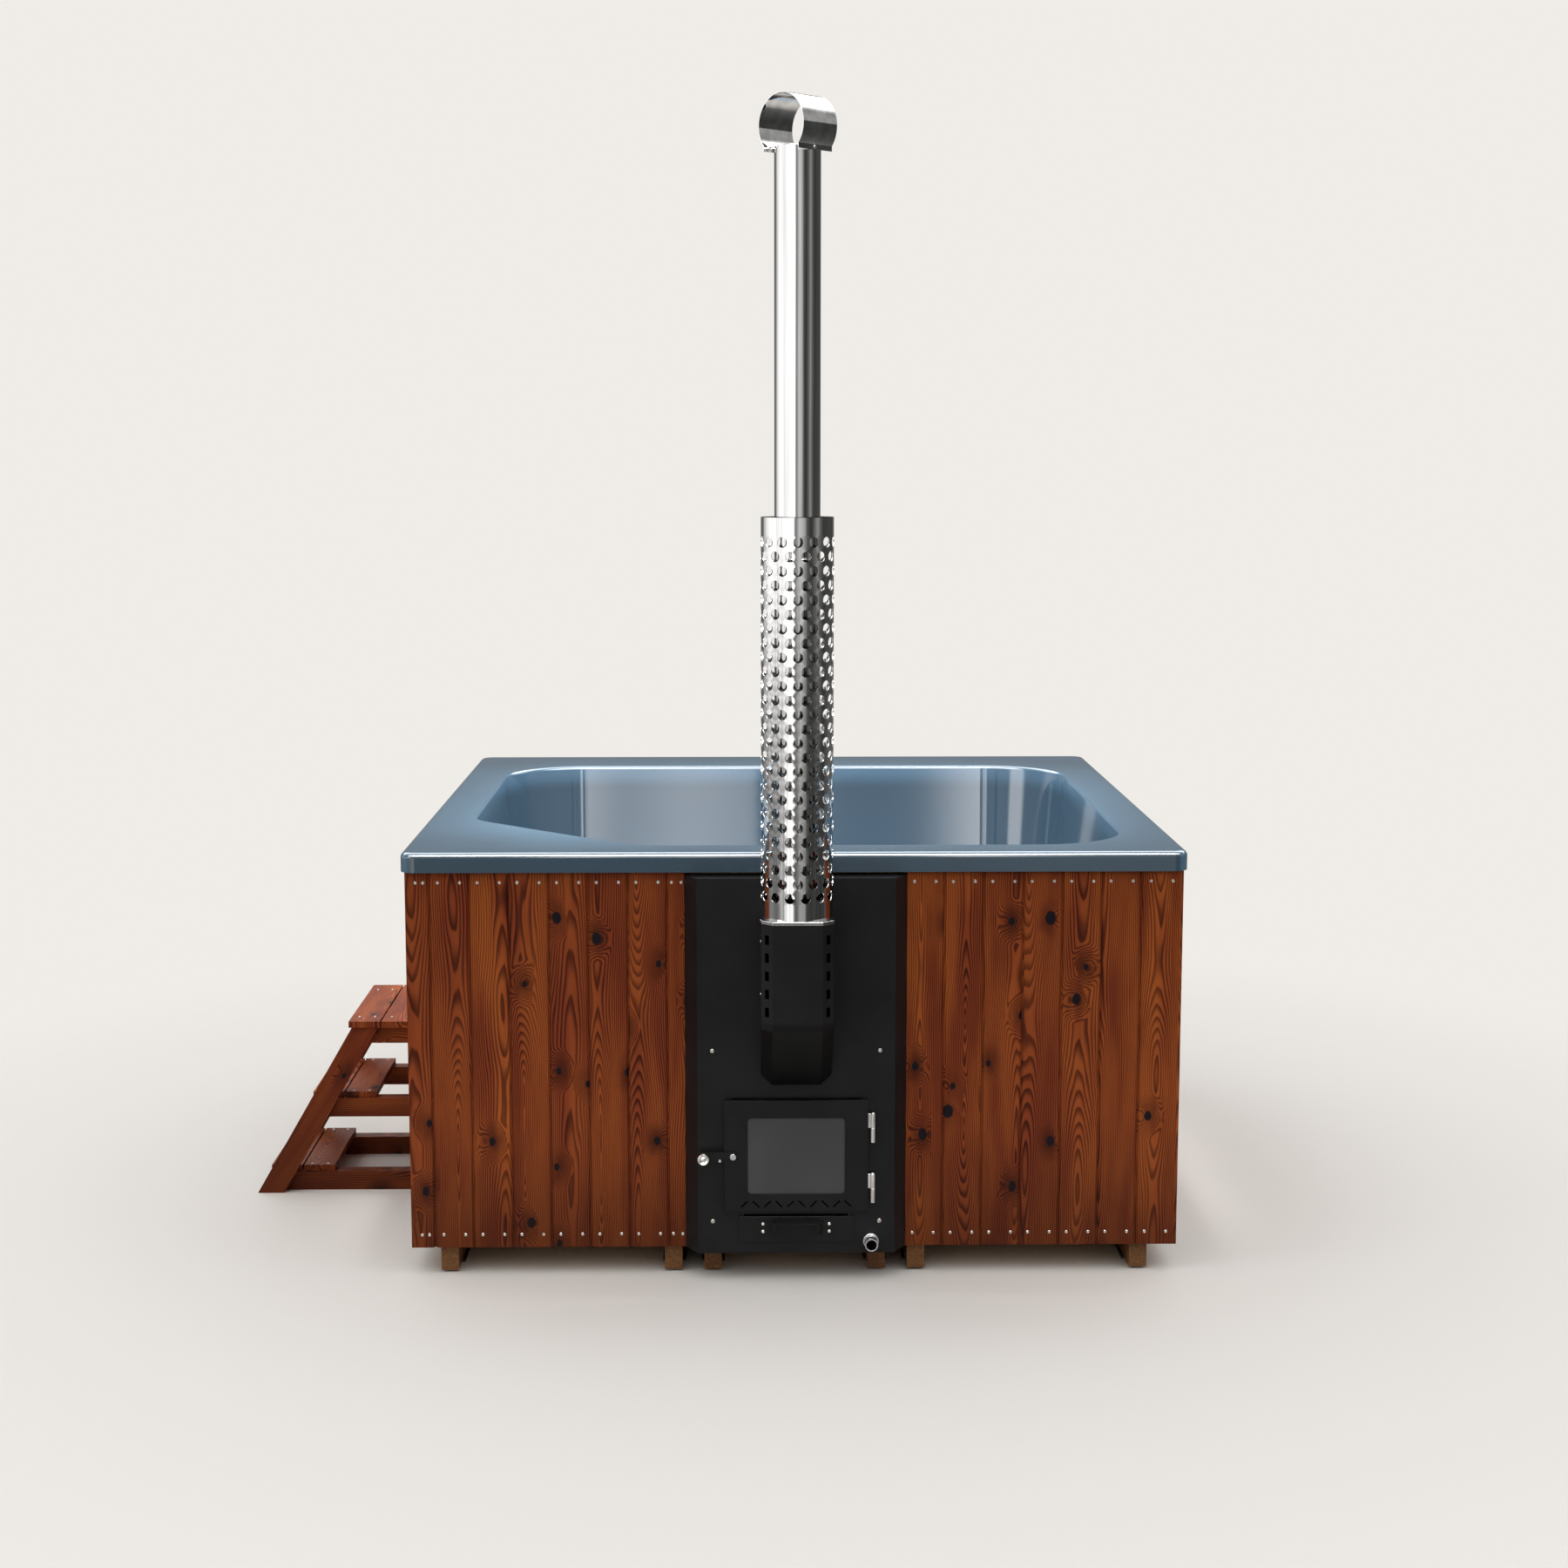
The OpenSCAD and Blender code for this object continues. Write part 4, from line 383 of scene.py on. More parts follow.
    tone = blend_colour(tree, fade(tree, height_up, 0.02, 0.46, 0.58, 0.0), tone, linear(40, 20, 14))
    tree.links.new(tone, shader.inputs["Base Color"])
    tree.links.new(fade(tree, fibres, 0.3, 0.8, 0.40, 0.58), shader.inputs["Roughness"])
    height = maths(tree, "MULTIPLY_ADD", fibres, 0.5, maths(tree, "MULTIPLY", late, 0.5))
    relief(tree, shader, height, 0.00030)
    return material


PITCH = 0.1004
UPRIGHT, ON_SIDE, FLAT, LEVEL, SLOPING = (0, 0, 0), (0, 0, -90), (90, 0, 0), (0, 90, 0), (0, -32, 0)
paint_node(stained_planks("stain_front_left", UPRIGHT, -0.9272, PITCH, 3.0), "cladding_front_left")
paint_node(stained_planks("stain_front_right", UPRIGHT, 0.3795, PITCH, 41.0), "cladding_front_right")
paint_node(stained_planks("stain_left", ON_SIDE, -0.9183, PITCH, 77.0), "cladding_left")
paint_node(stained_planks("stain_right", ON_SIDE, -0.9183, PITCH, 113.0), "cladding_right")
paint_node(stained_planks("stain_back", UPRIGHT, -0.9378, PITCH, 151.0), "cladding_back")


def bright_steel(name, colour, rough, grain, streak=0.12):
    """Bare steel, with fine marks that run as the grain's scale is stretched."""
    material, tree, shader = new_finish(name, rough, 1.0)
    position = object_place(tree)
    marks = noise(tree, stretched(tree, position, grain), 1.0, 5.0, 0.6)
    dark = tuple(c * 0.72 for c in colour[:3]) + (1.0,)
    tree.links.new(blend_colour(tree, fade(tree, marks, 0.3, 0.75), dark, colour), shader.inputs["Base Color"])
    tree.links.new(fade(tree, marks, 0.25, 0.8, max(0.03, rough - streak / 2), rough + streak),
                   shader.inputs["Roughness"])
    return material


screw_steel = bright_steel("screw_steel", linear(196, 192, 186), 0.38, (700, 700, 700))

# Cladding screws
# Stainless countersunk screws, two at each end of a plank, with a cross-shaped drive
# recess, drawn as a round pit. Their heads lie flush with the boards.


def screw_head(radius, height, recess, flat):
    """A screw head on the XY plane that looks along +Z: a disc or low dome, with a round drive recess sunk in it.
    """
    bm = bmesh.new()
    bmesh.ops.create_circle(bm, cap_ends=True, radius=radius, segments=16)
    face = bm.faces[:][0]
    step = 1 if face.normal.z > 0 else -1
    if flat:
        bmesh.ops.inset_individual(bm, faces=[face], thickness=radius * 0.1, depth=step * height)
    else:
        for inward, up in ((0.0, 0.35), (0.12, 0.33), (0.3, 0.24)):
            bmesh.ops.inset_individual(bm, faces=[face], thickness=radius * inward, depth=step * height * up)
    bmesh.ops.inset_individual(bm, faces=[face], thickness=radius * 0.22, depth=0.0)
    bmesh.ops.inset_individual(bm, faces=[face], thickness=radius * 0.08, depth=-step * recess)
    bmesh.ops.recalc_face_normals(bm, faces=bm.faces)
    mesh = bpy.data.meshes.new("head")
    bm.to_mesh(mesh)
    bm.free()
    return mesh


def verts_since(bm, count):
    bm.verts.ensure_lookup_table()
    return bm.verts[count:]


def heads_on(name, body, node, mesh, axis, material, lift=0.0):
    """One copy of a head for each loose solid of a CAD node, laid on its outer end along the axis."""
    source = bmesh.new()
    source.from_mesh(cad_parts[node].data)
    bmesh.ops.remove_doubles(source, verts=source.verts, dist=1e-6)
    out, seen = bmesh.new(), set()
    for vert in source.verts:
        if vert.index in seen:
            continue
        island, queue = [], [vert]
        seen.add(vert.index)
        while queue:
            v = queue.pop()
            island.append(v.co)
            for edge in v.link_edges:
                other = edge.other_vert(v)
                if other.index not in seen:
                    seen.add(other.index)
                    queue.append(other)
        low = Vector([min(c[i] for c in island) for i in range(3)])
        high = Vector([max(c[i] for c in island) for i in range(3)])
        way = axis((low + high) / 2)
        centre = (low + high) / 2 + way * ((high - low) / 2).dot(Vector([abs(c) for c in way])) + way * lift
        before = len(out.verts)
        out.from_mesh(mesh)
        bmesh.ops.transform(out, verts=verts_since(out, before),
                            matrix=Matrix.Translation(centre) @ way.to_track_quat("Z", "Y").to_matrix().to_4x4())
    source.free()
    return piece(name, out, body, material, [node], 28.0)


def from_wall(centre):
    if abs(centre.x) > abs(centre.y) + 1e-4:
        return Vector((math.copysign(1, centre.x), 0, 0))
    return Vector((0, math.copysign(1, centre.y), 0))


wood_head = screw_head(radius=0.004, height=0.0004, recess=0.0009, flat=True)
heads_on("plank_screws", "tub", "cladding_screws", wood_head, from_wall, screw_steel)

# Stove panel
# Sheet steel 3 mm thick, folded back at both sides and painted satin black. Openings are cut
# for the door, the drawer, the flue and the drain, and four screws hold it to the water jacket.


def black_paint(name, colour, rough, speck):
    material, tree, shader = new_finish(name, rough, gloss=0.15)
    position = object_place(tree)
    cloud = noise(tree, position, 6.0, 3.0)
    fine = noise(tree, position, speck, 2.0)
    light = tuple(c * 1.35 for c in colour[:3]) + (1.0,)
    tree.links.new(blend_colour(tree, fade(tree, cloud, 0.3, 0.75), colour, light), shader.inputs["Base Color"])
    tree.links.new(fade(tree, cloud, 0.25, 0.8, rough - 0.05, rough + 0.08), shader.inputs["Roughness"])
    relief(tree, shader, fine, 0.00012)
    return material


def softened(name, node, body, material, width, sharp=30.0):
    """The CAD solid's own shape with its cut edges rounded, as real sheet and plate are."""
    bm = bmesh.new()
    bm.from_mesh(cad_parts[node].data)
    bmesh.ops.remove_doubles(bm, verts=bm.verts, dist=2e-6)
    bmesh.ops.dissolve_limit(bm, angle_limit=math.radians(0.6), verts=bm.verts, edges=bm.edges)
    edges = [e for e in bm.edges if len(e.link_faces) == 2 and e.calc_face_angle(0.0) > math.radians(sharp)]
    bmesh.ops.bevel(bm, geom=edges, offset=width, offset_type="OFFSET", affect="EDGES", segments=2,
                    profile=0.5, material=-1, clamp_overlap=True)
    thing = piece(name, bm, body, material, [node], 50.0)
    thing.modifiers.new("even_light", "WEIGHTED_NORMAL").keep_sharp = True
    return thing


stove_black = black_paint("stove_black", linear(25, 25, 26), 0.40, 900.0)
softened("stove_front_sheet", "stove_panel", "tub", stove_black, 0.0012)
panel_head = screw_head(radius=0.0055, height=0.003, recess=0.0016, flat=False)


def to_front(centre):
    return Vector((0, -1, 0))


heads_on("panel_screw_heads", "tub", "panel_screws", panel_head, to_front, screw_steel, lift=-0.003)

# Firebox, water jacket and pipes
# Welded plate boxes, one inside the other, with the bath water between them. Two pipes let the
# water rise and return, behind slotted grilles in the foot well's front wall.

raw_plate = bright_steel("raw_plate", linear(96, 96, 99), 0.55, (40, 40, 40), 0.2)
paint_node(raw_plate, "firebox", "water_jacket", "flue_elbow", "glass_retainer")

grate_iron, iron_tree, iron_shader = new_finish("grate_iron", 0.85, 0.6)
iron_grain = noise(iron_tree, object_place(iron_tree), 420.0, 3.0)
iron_tree.links.new(blend_colour(iron_tree, iron_grain, linear(30, 28, 27), linear(70, 62, 56)),
                    iron_shader.inputs["Base Color"])
relief(iron_tree, iron_shader, iron_grain, 0.0006)
paint_node(grate_iron, "fire_grate")

pipe_steel = bright_steel("pipe_steel", linear(206, 206, 208), 0.24, (300, 300, 300))
paint_node(pipe_steel, "circulation_pipes", "circulation_grilles", "guard_spacers")

# Stove door
# A folded steel tray, painted like the panel, with a window cut in it and slanted air slots
# under the window. The glass is clamped from behind, and a rope seal closes the throat.

softened("door_tray", "door_panel", "door", stove_black, 0.0010)

fire_glass, glass_tree, glass_shader = new_finish("fire_glass", 0.2, gloss=0.35)
smoke = noise(glass_tree, object_place(glass_tree), 4.0, 1.0)
glass_tone = blend_colour(glass_tree, fade(glass_tree, smoke, 0.3, 0.7), linear(67, 68, 71), linear(74, 76, 79))
glass_tree.links.new(glass_tone, glass_shader.inputs["Base Color"])
paint_node(fire_glass, "door_glass")

rope, rope_tree, rope_shader = new_finish("seal_rope", 0.9)
rope_twist = add(rope_tree, "TexWave", {"Vector": object_place(rope_tree), "Scale": 70.0, "Distortion": 1.5,
                                        "Detail": 2.0}, bands_direction="DIAGONAL").outputs["Fac"]
rope_tree.links.new(blend_colour(rope_tree, rope_twist, linear(150, 145, 132), linear(206, 202, 190)),
                    rope_shader.inputs["Base Color"])
relief(rope_tree, rope_shader, rope_twist, 0.001)
paint_node(rope, "door_seal")


def to_back(centre):
    return Vector((0, 1, 0))


retainer_head = screw_head(radius=0.0025, height=0.002, recess=0.001, flat=False)
heads_on("retainer_screw_heads", "door", "retainer_screws", retainer_head, to_back, screw_steel, lift=-0.002)

# Hinges and latch
# Two lift-off hinges of bright steel at the right, and a black latch arm at the left that
# turns on a bolt, drops over a stud and ends in a bright knob.

hinge_steel = bright_steel("hinge_steel", linear(214, 213, 211), 0.30, (12, 12, 6), 0.06)
softened("door_hinge_leaves", "door_hinge_knuckles", "door", hinge_steel, 0.0006)
softened("panel_hinge_leaves", "panel_hinge_knuckles", "tub", hinge_steel, 0.0006)
softened("hinge_pin_heads", "hinge_pins", "tub", hinge_steel, 0.0006)
softened("latch_plate", "latch_arm", "latch", stove_black, 0.0005)
softened("latch_pivot_bolt", "latch_bolt", "door", pipe_steel, 0.0008)
softened("catch_pin", "catch_stud", "tub", pipe_steel, 0.0005)

KNOB_X, KNOB_Z, ARM_FACE = -0.234, 0.331, -1.064


def turned(name, profile, body, material, stands_for, matrix, steps=40, sharp=35.0):
    """A turned piece: a profile of (radius, height) pairs, spun round Z and put in place."""
    bm = bmesh.new()
    verts = [bm.verts.new((r, 0, h)) for r, h in profile]
    edges = [bm.edges.new(pair) for pair in zip(verts, verts[1:])]
    bmesh.ops.spin(bm, geom=verts + edges, cent=(0, 0, 0), axis=(0, 0, 1), angle=math.tau, steps=steps,
                   use_merge=True)
    bmesh.ops.remove_doubles(bm, verts=bm.verts, dist=1e-6)
    bmesh.ops.recalc_face_normals(bm, faces=bm.faces)
    bmesh.ops.transform(bm, matrix=matrix, verts=bm.verts)
    return piece(name, bm, body, material, stands_for, sharp)


facing_front = Matrix.Rotation(math.radians(90), 4, "X")
knob_profile = [(0.0, 0.0), (0.0075, 0.0), (0.0075, 0.0105), (0.009, 0.012), (0.0145, 0.0135),
                (0.0158, 0.0155), (0.016, 0.0225), (0.0154, 0.0262), (0.0138, 0.0285), (0.0116, 0.0290),
                (0.0100, 0.0280), (0.0084, 0.0262), (0.0068, 0.0258), (0.0054, 0.0268), (0.0036, 0.0280),
                (0.0, 0.0284)]
knob_steel = bright_steel("knob_steel", linear(224, 222, 218), 0.16, (400, 400, 400))
turned("latch_ball", knob_profile, "latch", knob_steel, ["latch_knob"],
       Matrix.Translation((KNOB_X, ARM_FACE, KNOB_Z)) @ facing_front)

# Ash drawer
# A bent steel tray slides on two runners in the ash box. Its front is a plain plate, and a
# folded strip on four screws makes the handle.

paint_node(bright_steel("tray_steel", linear(150, 150, 152), 0.45, (60, 60, 60), 0.2), "ash_tray")
softened("drawer_plate", "drawer_front", "ash_drawer", stove_black, 0.0012)
softened("drawer_pull", "drawer_handle", "ash_drawer", stove_black, 0.0005)
pull_head = screw_head(radius=0.0045, height=0.003, recess=0.0014, flat=False)
pull_screw_steel = bright_steel("pull_screw_steel", linear(226, 224, 220), 0.22, (500, 500, 500))
heads_on("pull_screw_heads", "ash_drawer", "handle_screws", pull_head, to_front, pull_screw_steel, lift=-0.003)

# Flue pipe
# Two lengths of polished stainless pipe stand on the sloping pipe from the firebox, pushed
# together over a short sleeve.


def mirror_steel(name, rough, up=True):
    """Polished stainless sheet, with faint long marks from the rolls."""
    material, tree, shader = new_finish(name, rough, 1.0)
    position = object_place(tree)
    marks = noise(tree, stretched(tree, position, (260, 260, 2.5) if up else (40, 40, 40)), 1.0, 4.0, 0.55)
    tree.links.new(blend_colour(tree, fade(tree, marks, 0.3, 0.7), linear(206, 205, 204), linear(236, 235, 233)),
                   shader.inputs["Base Color"])
    tree.links.new(fade(tree, marks, 0.3, 0.75, rough - 0.03, rough + 0.05), shader.inputs["Roughness"])
    relief(tree, shader, noise(tree, position, 5.0, 1.0), 0.00012)
    return material


polished = mirror_steel("polished_steel", 0.07)
FLUE_X, FLUE_Y, FLUE_R, FLUE_WALL = 0.002, -1.136, 0.056, 0.0015


def pipe_length(name, low, high, node):
    """A length of pipe whose outer edges are a little broken at both ends."""
    profile = [(FLUE_R - FLUE_WALL, low), (FLUE_R - 0.0004, low), (FLUE_R, low + 0.0006), (FLUE_R, high - 0.0006),
               (FLUE_R - 0.0004, high), (FLUE_R - FLUE_WALL, high), (FLUE_R - FLUE_WALL, low)]
    turned(name, profile, "tub", polished, [node], Matrix.Translation((FLUE_X, FLUE_Y, 0)), 96, 15.0)


pipe_length("flue_length_lower", 0.774, 1.850, "flue_pipe_lower")
pipe_length("flue_length_upper", 1.850, 2.826, "flue_pipe_upper")

# Flue housing and collar
# A folded black sheet hides the bend of the flue, with vent slots down both bevelled sides.
# A shallow bright tray closes its top and carries the heat guard.

cover_black = black_paint("cover_black", linear(28, 28, 29), 0.38, 900.0)
cover_tree = cover_black.node_tree
cover_colour = cover_tree.nodes["Principled BSDF"].inputs["Base Color"]
# Painted shade: below the bend, over the door, the sloping end faces down into shade and is painted nearly black
cover_height = add(cover_tree, "SeparateXYZ", {"Vector": object_place(cover_tree)}).outputs[2]
cover_end_shade = fade(cover_tree, cover_height, 0.722, 0.700, 0.0, 0.85)
cover_tone = blend_colour(cover_tree, cover_end_shade, cover_colour.links[0].from_socket, linear(8, 8, 8))
cover_tree.links.new(cover_tone, cover_colour)
softened("flue_cover", "flue_housing", "tub", cover_black, 0.0007)
softened("cover_collar", "housing_collar", "tub", polished, 0.0006)


def sideways(centre):
    return Vector((math.copysign(1, centre.x - FLUE_X), 0, 0))


cover_head = screw_head(radius=0.004, height=0.002, recess=0.001, flat=False)
heads_on("cover_screw_heads", "tub", "housing_screws", cover_head, sideways, screw_steel, lift=-0.002)

# Heat guard
# Thin stainless sheet, punched all over with round holes in staggered rows and rolled to a
# tube. It stands on the collar and keeps hands off the hot pipe.

GUARD_R, GUARD_LOW, GUARD_HIGH, GUARD_SHEET = 0.089, 0.967, 1.950, 0.0015
HOLE_R, HOLE_POINTS, ROW, ROWS, ROUND = 0.01275, 24, 0.03466, 26, 14
CELL = math.tau * GUARD_R / ROUND
TOP_ROW = GUARD_HIGH - 0.059

# One cell of the flat sheet: a square round a hole
cell_bm = bmesh.new()
hole_verts, edge_verts = [], []
for i in range(HOLE_POINTS):
    side, part = divmod(i, HOLE_POINTS // 4)
    along = part / (HOLE_POINTS // 4) - 0.5
    x, y = [(0.5, along), (-along, 0.5), (-0.5, -along), (along, -0.5)][side]
    angle = math.atan2(y, x)
    hole_verts.append(cell_bm.verts.new((HOLE_R * math.cos(angle), HOLE_R * math.sin(angle), 0)))
    edge_verts.append(cell_bm.verts.new((x * CELL, y * ROW, 0)))
loops = [cell_bm.edges.new((verts[i], verts[(i + 1) % HOLE_POINTS])) for verts in (hole_verts, edge_verts)
         for i in range(HOLE_POINTS)]
bmesh.ops.bridge_loops(cell_bm, edges=loops)
cell_mesh = bpy.data.meshes.new("guard_cell")
cell_bm.to_mesh(cell_mesh)
cell_bm.free()

# The flat sheet: staggered rows of cells, with a plain strip below and above them
guard_bm = bmesh.new()
for row in range(ROWS):
    for i in range(ROUND):
        before = len(guard_bm.verts)
        guard_bm.from_mesh(cell_mesh)
        bmesh.ops.translate(guard_bm, verts=verts_since(guard_bm, before),
                            vec=((i + 0.5 * (row % 2)) * CELL, TOP_ROW - row * ROW, 0))
for low, high, shift in ((GUARD_LOW, TOP_ROW - (ROWS - 0.5) * ROW, 0.5), (TOP_ROW + 0.5 * ROW, GUARD_HIGH, 0.0)):
    for i in range(ROUND):
        before = len(guard_bm.verts)
        bmesh.ops.create_grid(guard_bm, x_segments=HOLE_POINTS // 4, y_segments=1, size=0.5)
        fresh = verts_since(guard_bm, before)
        bmesh.ops.scale(guard_bm, verts=fresh, vec=(CELL, high - low, 1))
        bmesh.ops.translate(guard_bm, verts=fresh, vec=((i + shift) * CELL, (low + high) / 2, 0))

# Rolled round the pipe, with its faces looking out
for vert in guard_bm.verts:
    angle = vert.co.x / GUARD_R - math.pi / 2
    vert.co = Vector((FLUE_X + GUARD_R * math.cos(angle), FLUE_Y + GUARD_R * math.sin(angle), vert.co.y))
bmesh.ops.remove_doubles(guard_bm, verts=guard_bm.verts, dist=2e-5)
bmesh.ops.recalc_face_normals(guard_bm, faces=guard_bm.faces)
some_face = guard_bm.faces[:][0]
face_middle = some_face.calc_center_median()
if some_face.normal.dot(face_middle - Vector((FLUE_X, FLUE_Y, face_middle.z))) < 0:
    bmesh.ops.reverse_faces(guard_bm, faces=guard_bm.faces)
guard = piece("punched_guard", guard_bm, "tub", polished, ["heat_guard"], 40.0)
guard_wall = guard.modifiers.new("sheet", "SOLIDIFY")
guard_wall.thickness = GUARD_SHEET
guard_wall.offset = -1.0

# Chimney cap
# A strip of the same steel bent to a hoop over the pipe's mouth, its feet riveted to the pipe.

softened("cap_hoop", "chimney_cap", "tub", mirror_steel("cap_steel", 0.08, False), 0.0004, 35.0)
softened("cap_rivet_heads", "cap_rivets", "tub", pipe_steel, 0.0006)

# Waste, drain pipe and plug
# The waste sits in the foot well's floor, closed by a rubber plug with a pull ring. Its pipe
# runs forward under the floor and ends in a bare stub with a nut. The stub's thread is left out.

softened("waste_fitting", "drain_waste", "tub", pipe_steel, 0.0006)
softened("drain_stub_pipe", "drain_pipe", "tub", pipe_steel, 0.0008)
softened("drain_ring_nut", "drain_nut", "tub", pipe_steel, 0.0010)
paint_node(moulded_rubber("plug_rubber", linear(30, 30, 31), 1400.0), "drain_plug")

# Steps
# Loose timber steps in the same stain: two sloping stringers, level rails between them and
# the back posts, and two boards to each tread, screwed down from above.

paint_node(stained_planks("stain_stringer", SLOPING, -1.6, 0.31, 9.0), "step_stringers")
paint_node(stained_planks("stain_post", UPRIGHT, -1.6, 0.2, 15.0), "step_posts")
paint_node(stained_planks("stain_rail", LEVEL, 0.0, 0.216, 21.0), "step_rails")
paint_node(stained_planks("stain_tread", FLAT, -1.491, 0.093, 33.0, 1.10), "step_treads")


def to_top(centre):
    return Vector((0, 0, 1))


heads_on("tread_screw_heads", "tub", "step_screws", wood_head, to_top, screw_steel)

# Studio
# A plain pale floor that runs out to the pale background, soft light from above and both
# sides, and a camera where the photograph was taken from.

FLOOR_HALF, FLOOR_FADE, MIRROR_STRENGTH = 30.0, (2.0, 3.6), 8.0
bpy.context.scene.view_settings.view_transform = "Standard"
floor_bm = bmesh.new()
bmesh.ops.create_grid(floor_bm, x_segments=1, y_segments=1, size=FLOOR_HALF)
floor_mesh = bpy.data.meshes.new("floor")
floor_bm.to_mesh(floor_mesh)
floor_bm.free()
floor_paint, floor_tree, floor_shader = new_finish("floor_paint", 0.9)
floor_shader.inputs["Base Color"].default_value = linear(232, 229, 224)
floor_shader.inputs["Specular IOR Level"].default_value = 0.1
floor_spot = add(floor_tree, "VectorMath", {0: object_place(floor_tree)}, operation="LENGTH").outputs["Value"]
floor_end = add(floor_tree, "MixShader", {0: fade(floor_tree, floor_spot, *FLOOR_FADE), 1: floor_shader.outputs[0],
                                          2: add(floor_tree, "BsdfTransparent").outputs[0]})
floor_tree.links.new(floor_end.outputs[0], floor_tree.nodes["Material Output"].inputs["Surface"])
floor_mesh.materials.append(floor_paint)
floor = bpy.data.objects.new("floor", floor_mesh)
bpy.context.scene.collection.objects.link(floor)

world = bpy.data.worlds.new("studio")
bpy.context.scene.world = world
world.use_nodes = True
sky = world.node_tree
room = sky.nodes["Background"]
sky_x, sky_y, rise = add(sky, "SeparateXYZ", {"Vector": add(sky, "TexCoord").outputs["Generated"]}).outputs
heading = maths(sky, "ARCTAN2", sky_x, maths(sky, "MULTIPLY", sky_y, -1.0))
around = maths(sky, "ADD", maths(sky, "DIVIDE", heading, math.tau), 0.5)


def bands(stops):
    """Grey levels of the room round the horizon: pairs of degrees from straight behind the camera, left
    negative, and the level there."""
    ramp = add(sky, "ValToRGB", {"Fac": around})
    elements = ramp.color_ramp.elements
    for i, (place, level) in enumerate(stops):
        stop = elements[i] if i < 2 else elements.new((place + 180) / 360)
        stop.position, stop.color = (place + 180) / 360, (level / MIRROR_STRENGTH,) * 3 + (1,)
    return ramp.outputs["Color"]


# What bright steel and the gel coat mirror: bands below the horizon, level with it, and above it. Their levels
# were set from the brightness of the stripes that the pipe and the guard show in the photograph
low_bands = bands([
    (-180, 0.14), (180, 0.14), (-150, 0.12), (-121, 0.20), (-106, 0.13), (-93, 0.23), (-64, 0.18), (-54, 0.48),
    (-44, 0.53), (-36, 1.2), (-16, 1.45), (-10, 0.25), (-3, 0.12), (3, 0.28), (8, 0.44), (22, 0.40), (30, 0.06),
    (90, 0.04), (116, 0.15)])
level_bands = bands([
    (-180, 0.18), (180, 0.18), (-152, 0.18), (-148, 0.08), (-134, 0.30), (-126, 0.75), (-109, 1.2), (-95, 1.6),
    (-72, 1.3), (-52, 1.3), (-40, 1.6), (-14, 1.8), (-10, 0.50), (-7, 0.24), (-3, 0.30), (2, 0.60), (11, 0.70),
    (20, 0.54), (29, 0.12), (38, 0.05), (47, 0.06), (57, 0.17), (67, 0.32), (77, 0.13), (89, 0.05), (117, 0.07),
    (143, 0.06), (148, 0.18)])
high_bands = bands([
    (-180, 0.18), (180, 0.18), (-110, 0.25), (-68, 0.5), (-62, 4.5), (-44, 4.5), (-40, 0.7), (-4.6, 0.6),
    (-4.2, 7.0), (-3.3, 7.0), (-3.0, 1.6), (-2.2, 3.0), (-0.9, 5.0), (0.0, 3.4), (1.2, 1.0), (2.2, 0.4),
    (4.4, 0.35), (4.8, 0.6), (5.1, 7.0), (6.4, 7.0), (7.5, 1.2), (10, 0.5), (44, 0.6), (110, 0.3)])
mirrored = blend_colour(sky, fade(sky, rise, -0.17, -0.03), low_bands, level_bands)
mirrored = blend_colour(sky, fade(sky, rise, 0.15, 0.19), mirrored, high_bands)
# A lit ceiling behind the camera, and the lit top of the wall in front of it
ceiling = maths(sky, "MULTIPLY", fade(sky, rise, 0.64, 0.72), fade(sky, sky_y, -0.10, -0.20))
mirrored = blend_colour(sky, ceiling, mirrored, (2.4, 2.4, 2.4, 1))
lit_wall = maths(sky, "MULTIPLY", fade(sky, rise, 0.40, 0.46), fade(sky, sky_y, 0.2, 0.5))
mirrored = blend_colour(sky, lit_wall, mirrored, (0.6, 0.6, 0.6, 1))
sky.links.new(mirrored, room.inputs["Color"])
room.inputs["Strength"].default_value = MIRROR_STRENGTH
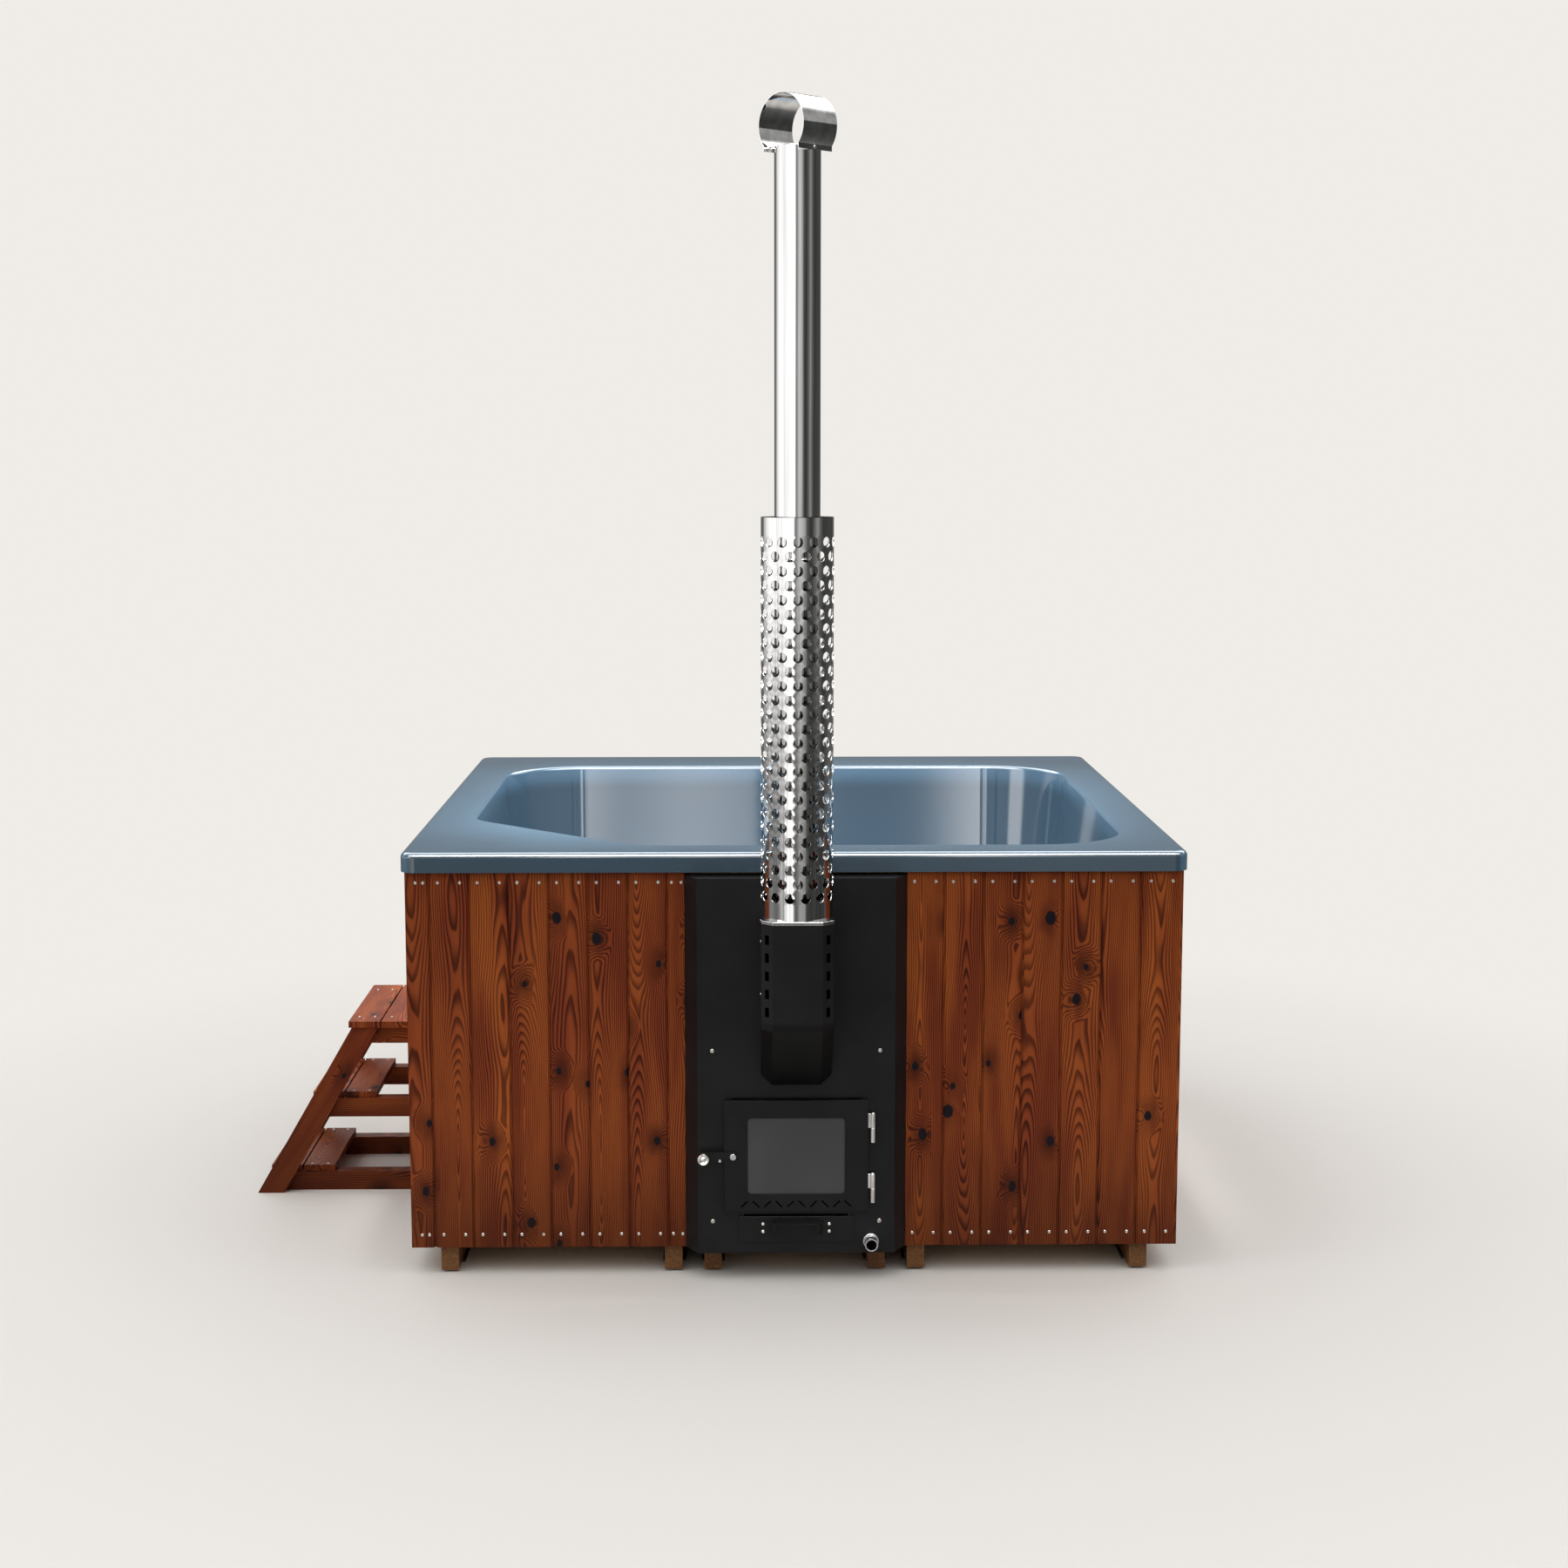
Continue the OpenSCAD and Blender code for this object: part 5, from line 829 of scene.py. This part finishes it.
# The light itself comes from a plain dome that fades out toward the horizon
dome_level = maths(sky, "MULTIPLY", fade(sky, rise, 0.1, 1.0, 0.36, 1.0), fade(sky, rise, 0.06, 0.34))
dome_tone = blend_colour(sky, dome_level, (0, 0, 0, 1), (1, 1, 1, 1))
dome = add(sky, "Background", {"Color": dome_tone, "Strength": 1.30})
plain = add(sky, "Background", {"Color": linear(239, 236, 231), "Strength": 1.0})
path = add(sky, "LightPath")
lit = add(sky, "MixShader", {0: path.outputs["Is Glossy Ray"], 1: dome.outputs[0], 2: room.outputs[0]})
seen = add(sky, "MixShader", {0: path.outputs["Is Camera Ray"], 1: lit.outputs[0], 2: plain.outputs[0]})
sky.links.new(seen.outputs[0], sky.nodes["World Output"].inputs["Surface"])


def soft_light(name, place, aim, size, power, spread):
    """A lamp box that lights the tub but isn't mirrored in it; the spread is in degrees."""
    lamp = bpy.data.lights.new(name, "AREA")
    lamp.shape = "RECTANGLE"
    lamp.size, lamp.size_y = size
    lamp.energy = power
    lamp.spread = math.radians(spread)
    lamp_object = bpy.data.objects.new(name, lamp)
    bpy.context.scene.collection.objects.link(lamp_object)
    lamp_object.location = place
    lamp_object.visible_glossy = False
    lamp_object.rotation_euler = (Vector(aim) - Vector(place)).to_track_quat("-Z", "Y").to_euler()


soft_light("top_box", (0.0, -0.10, 2.9), (0.0, -0.04, 0.8), (1.6, 1.3), 20, 26)
soft_light("left_box", (-4.8, -3.2, 3.0), (0.0, -0.8, 0.9), (1.4, 2.6), 12, 180)
soft_light("right_box", (4.2, -4.6, 2.6), (0.0, -0.8, 0.9), (1.4, 2.6), 1.5, 180)

lens = bpy.data.cameras.new("photo_camera")
lens.sensor_width = 36.0
lens.sensor_fit = "HORIZONTAL"
lens.lens = 56.4
camera = bpy.data.objects.new("photo_camera", lens)
bpy.context.scene.collection.objects.link(camera)
camera.location = (-0.1277, -7.1253, 2.1013)
camera.rotation_euler = (math.radians(90 - 7.652), 0.0, math.radians(-0.930))
bpy.context.scene.camera = camera
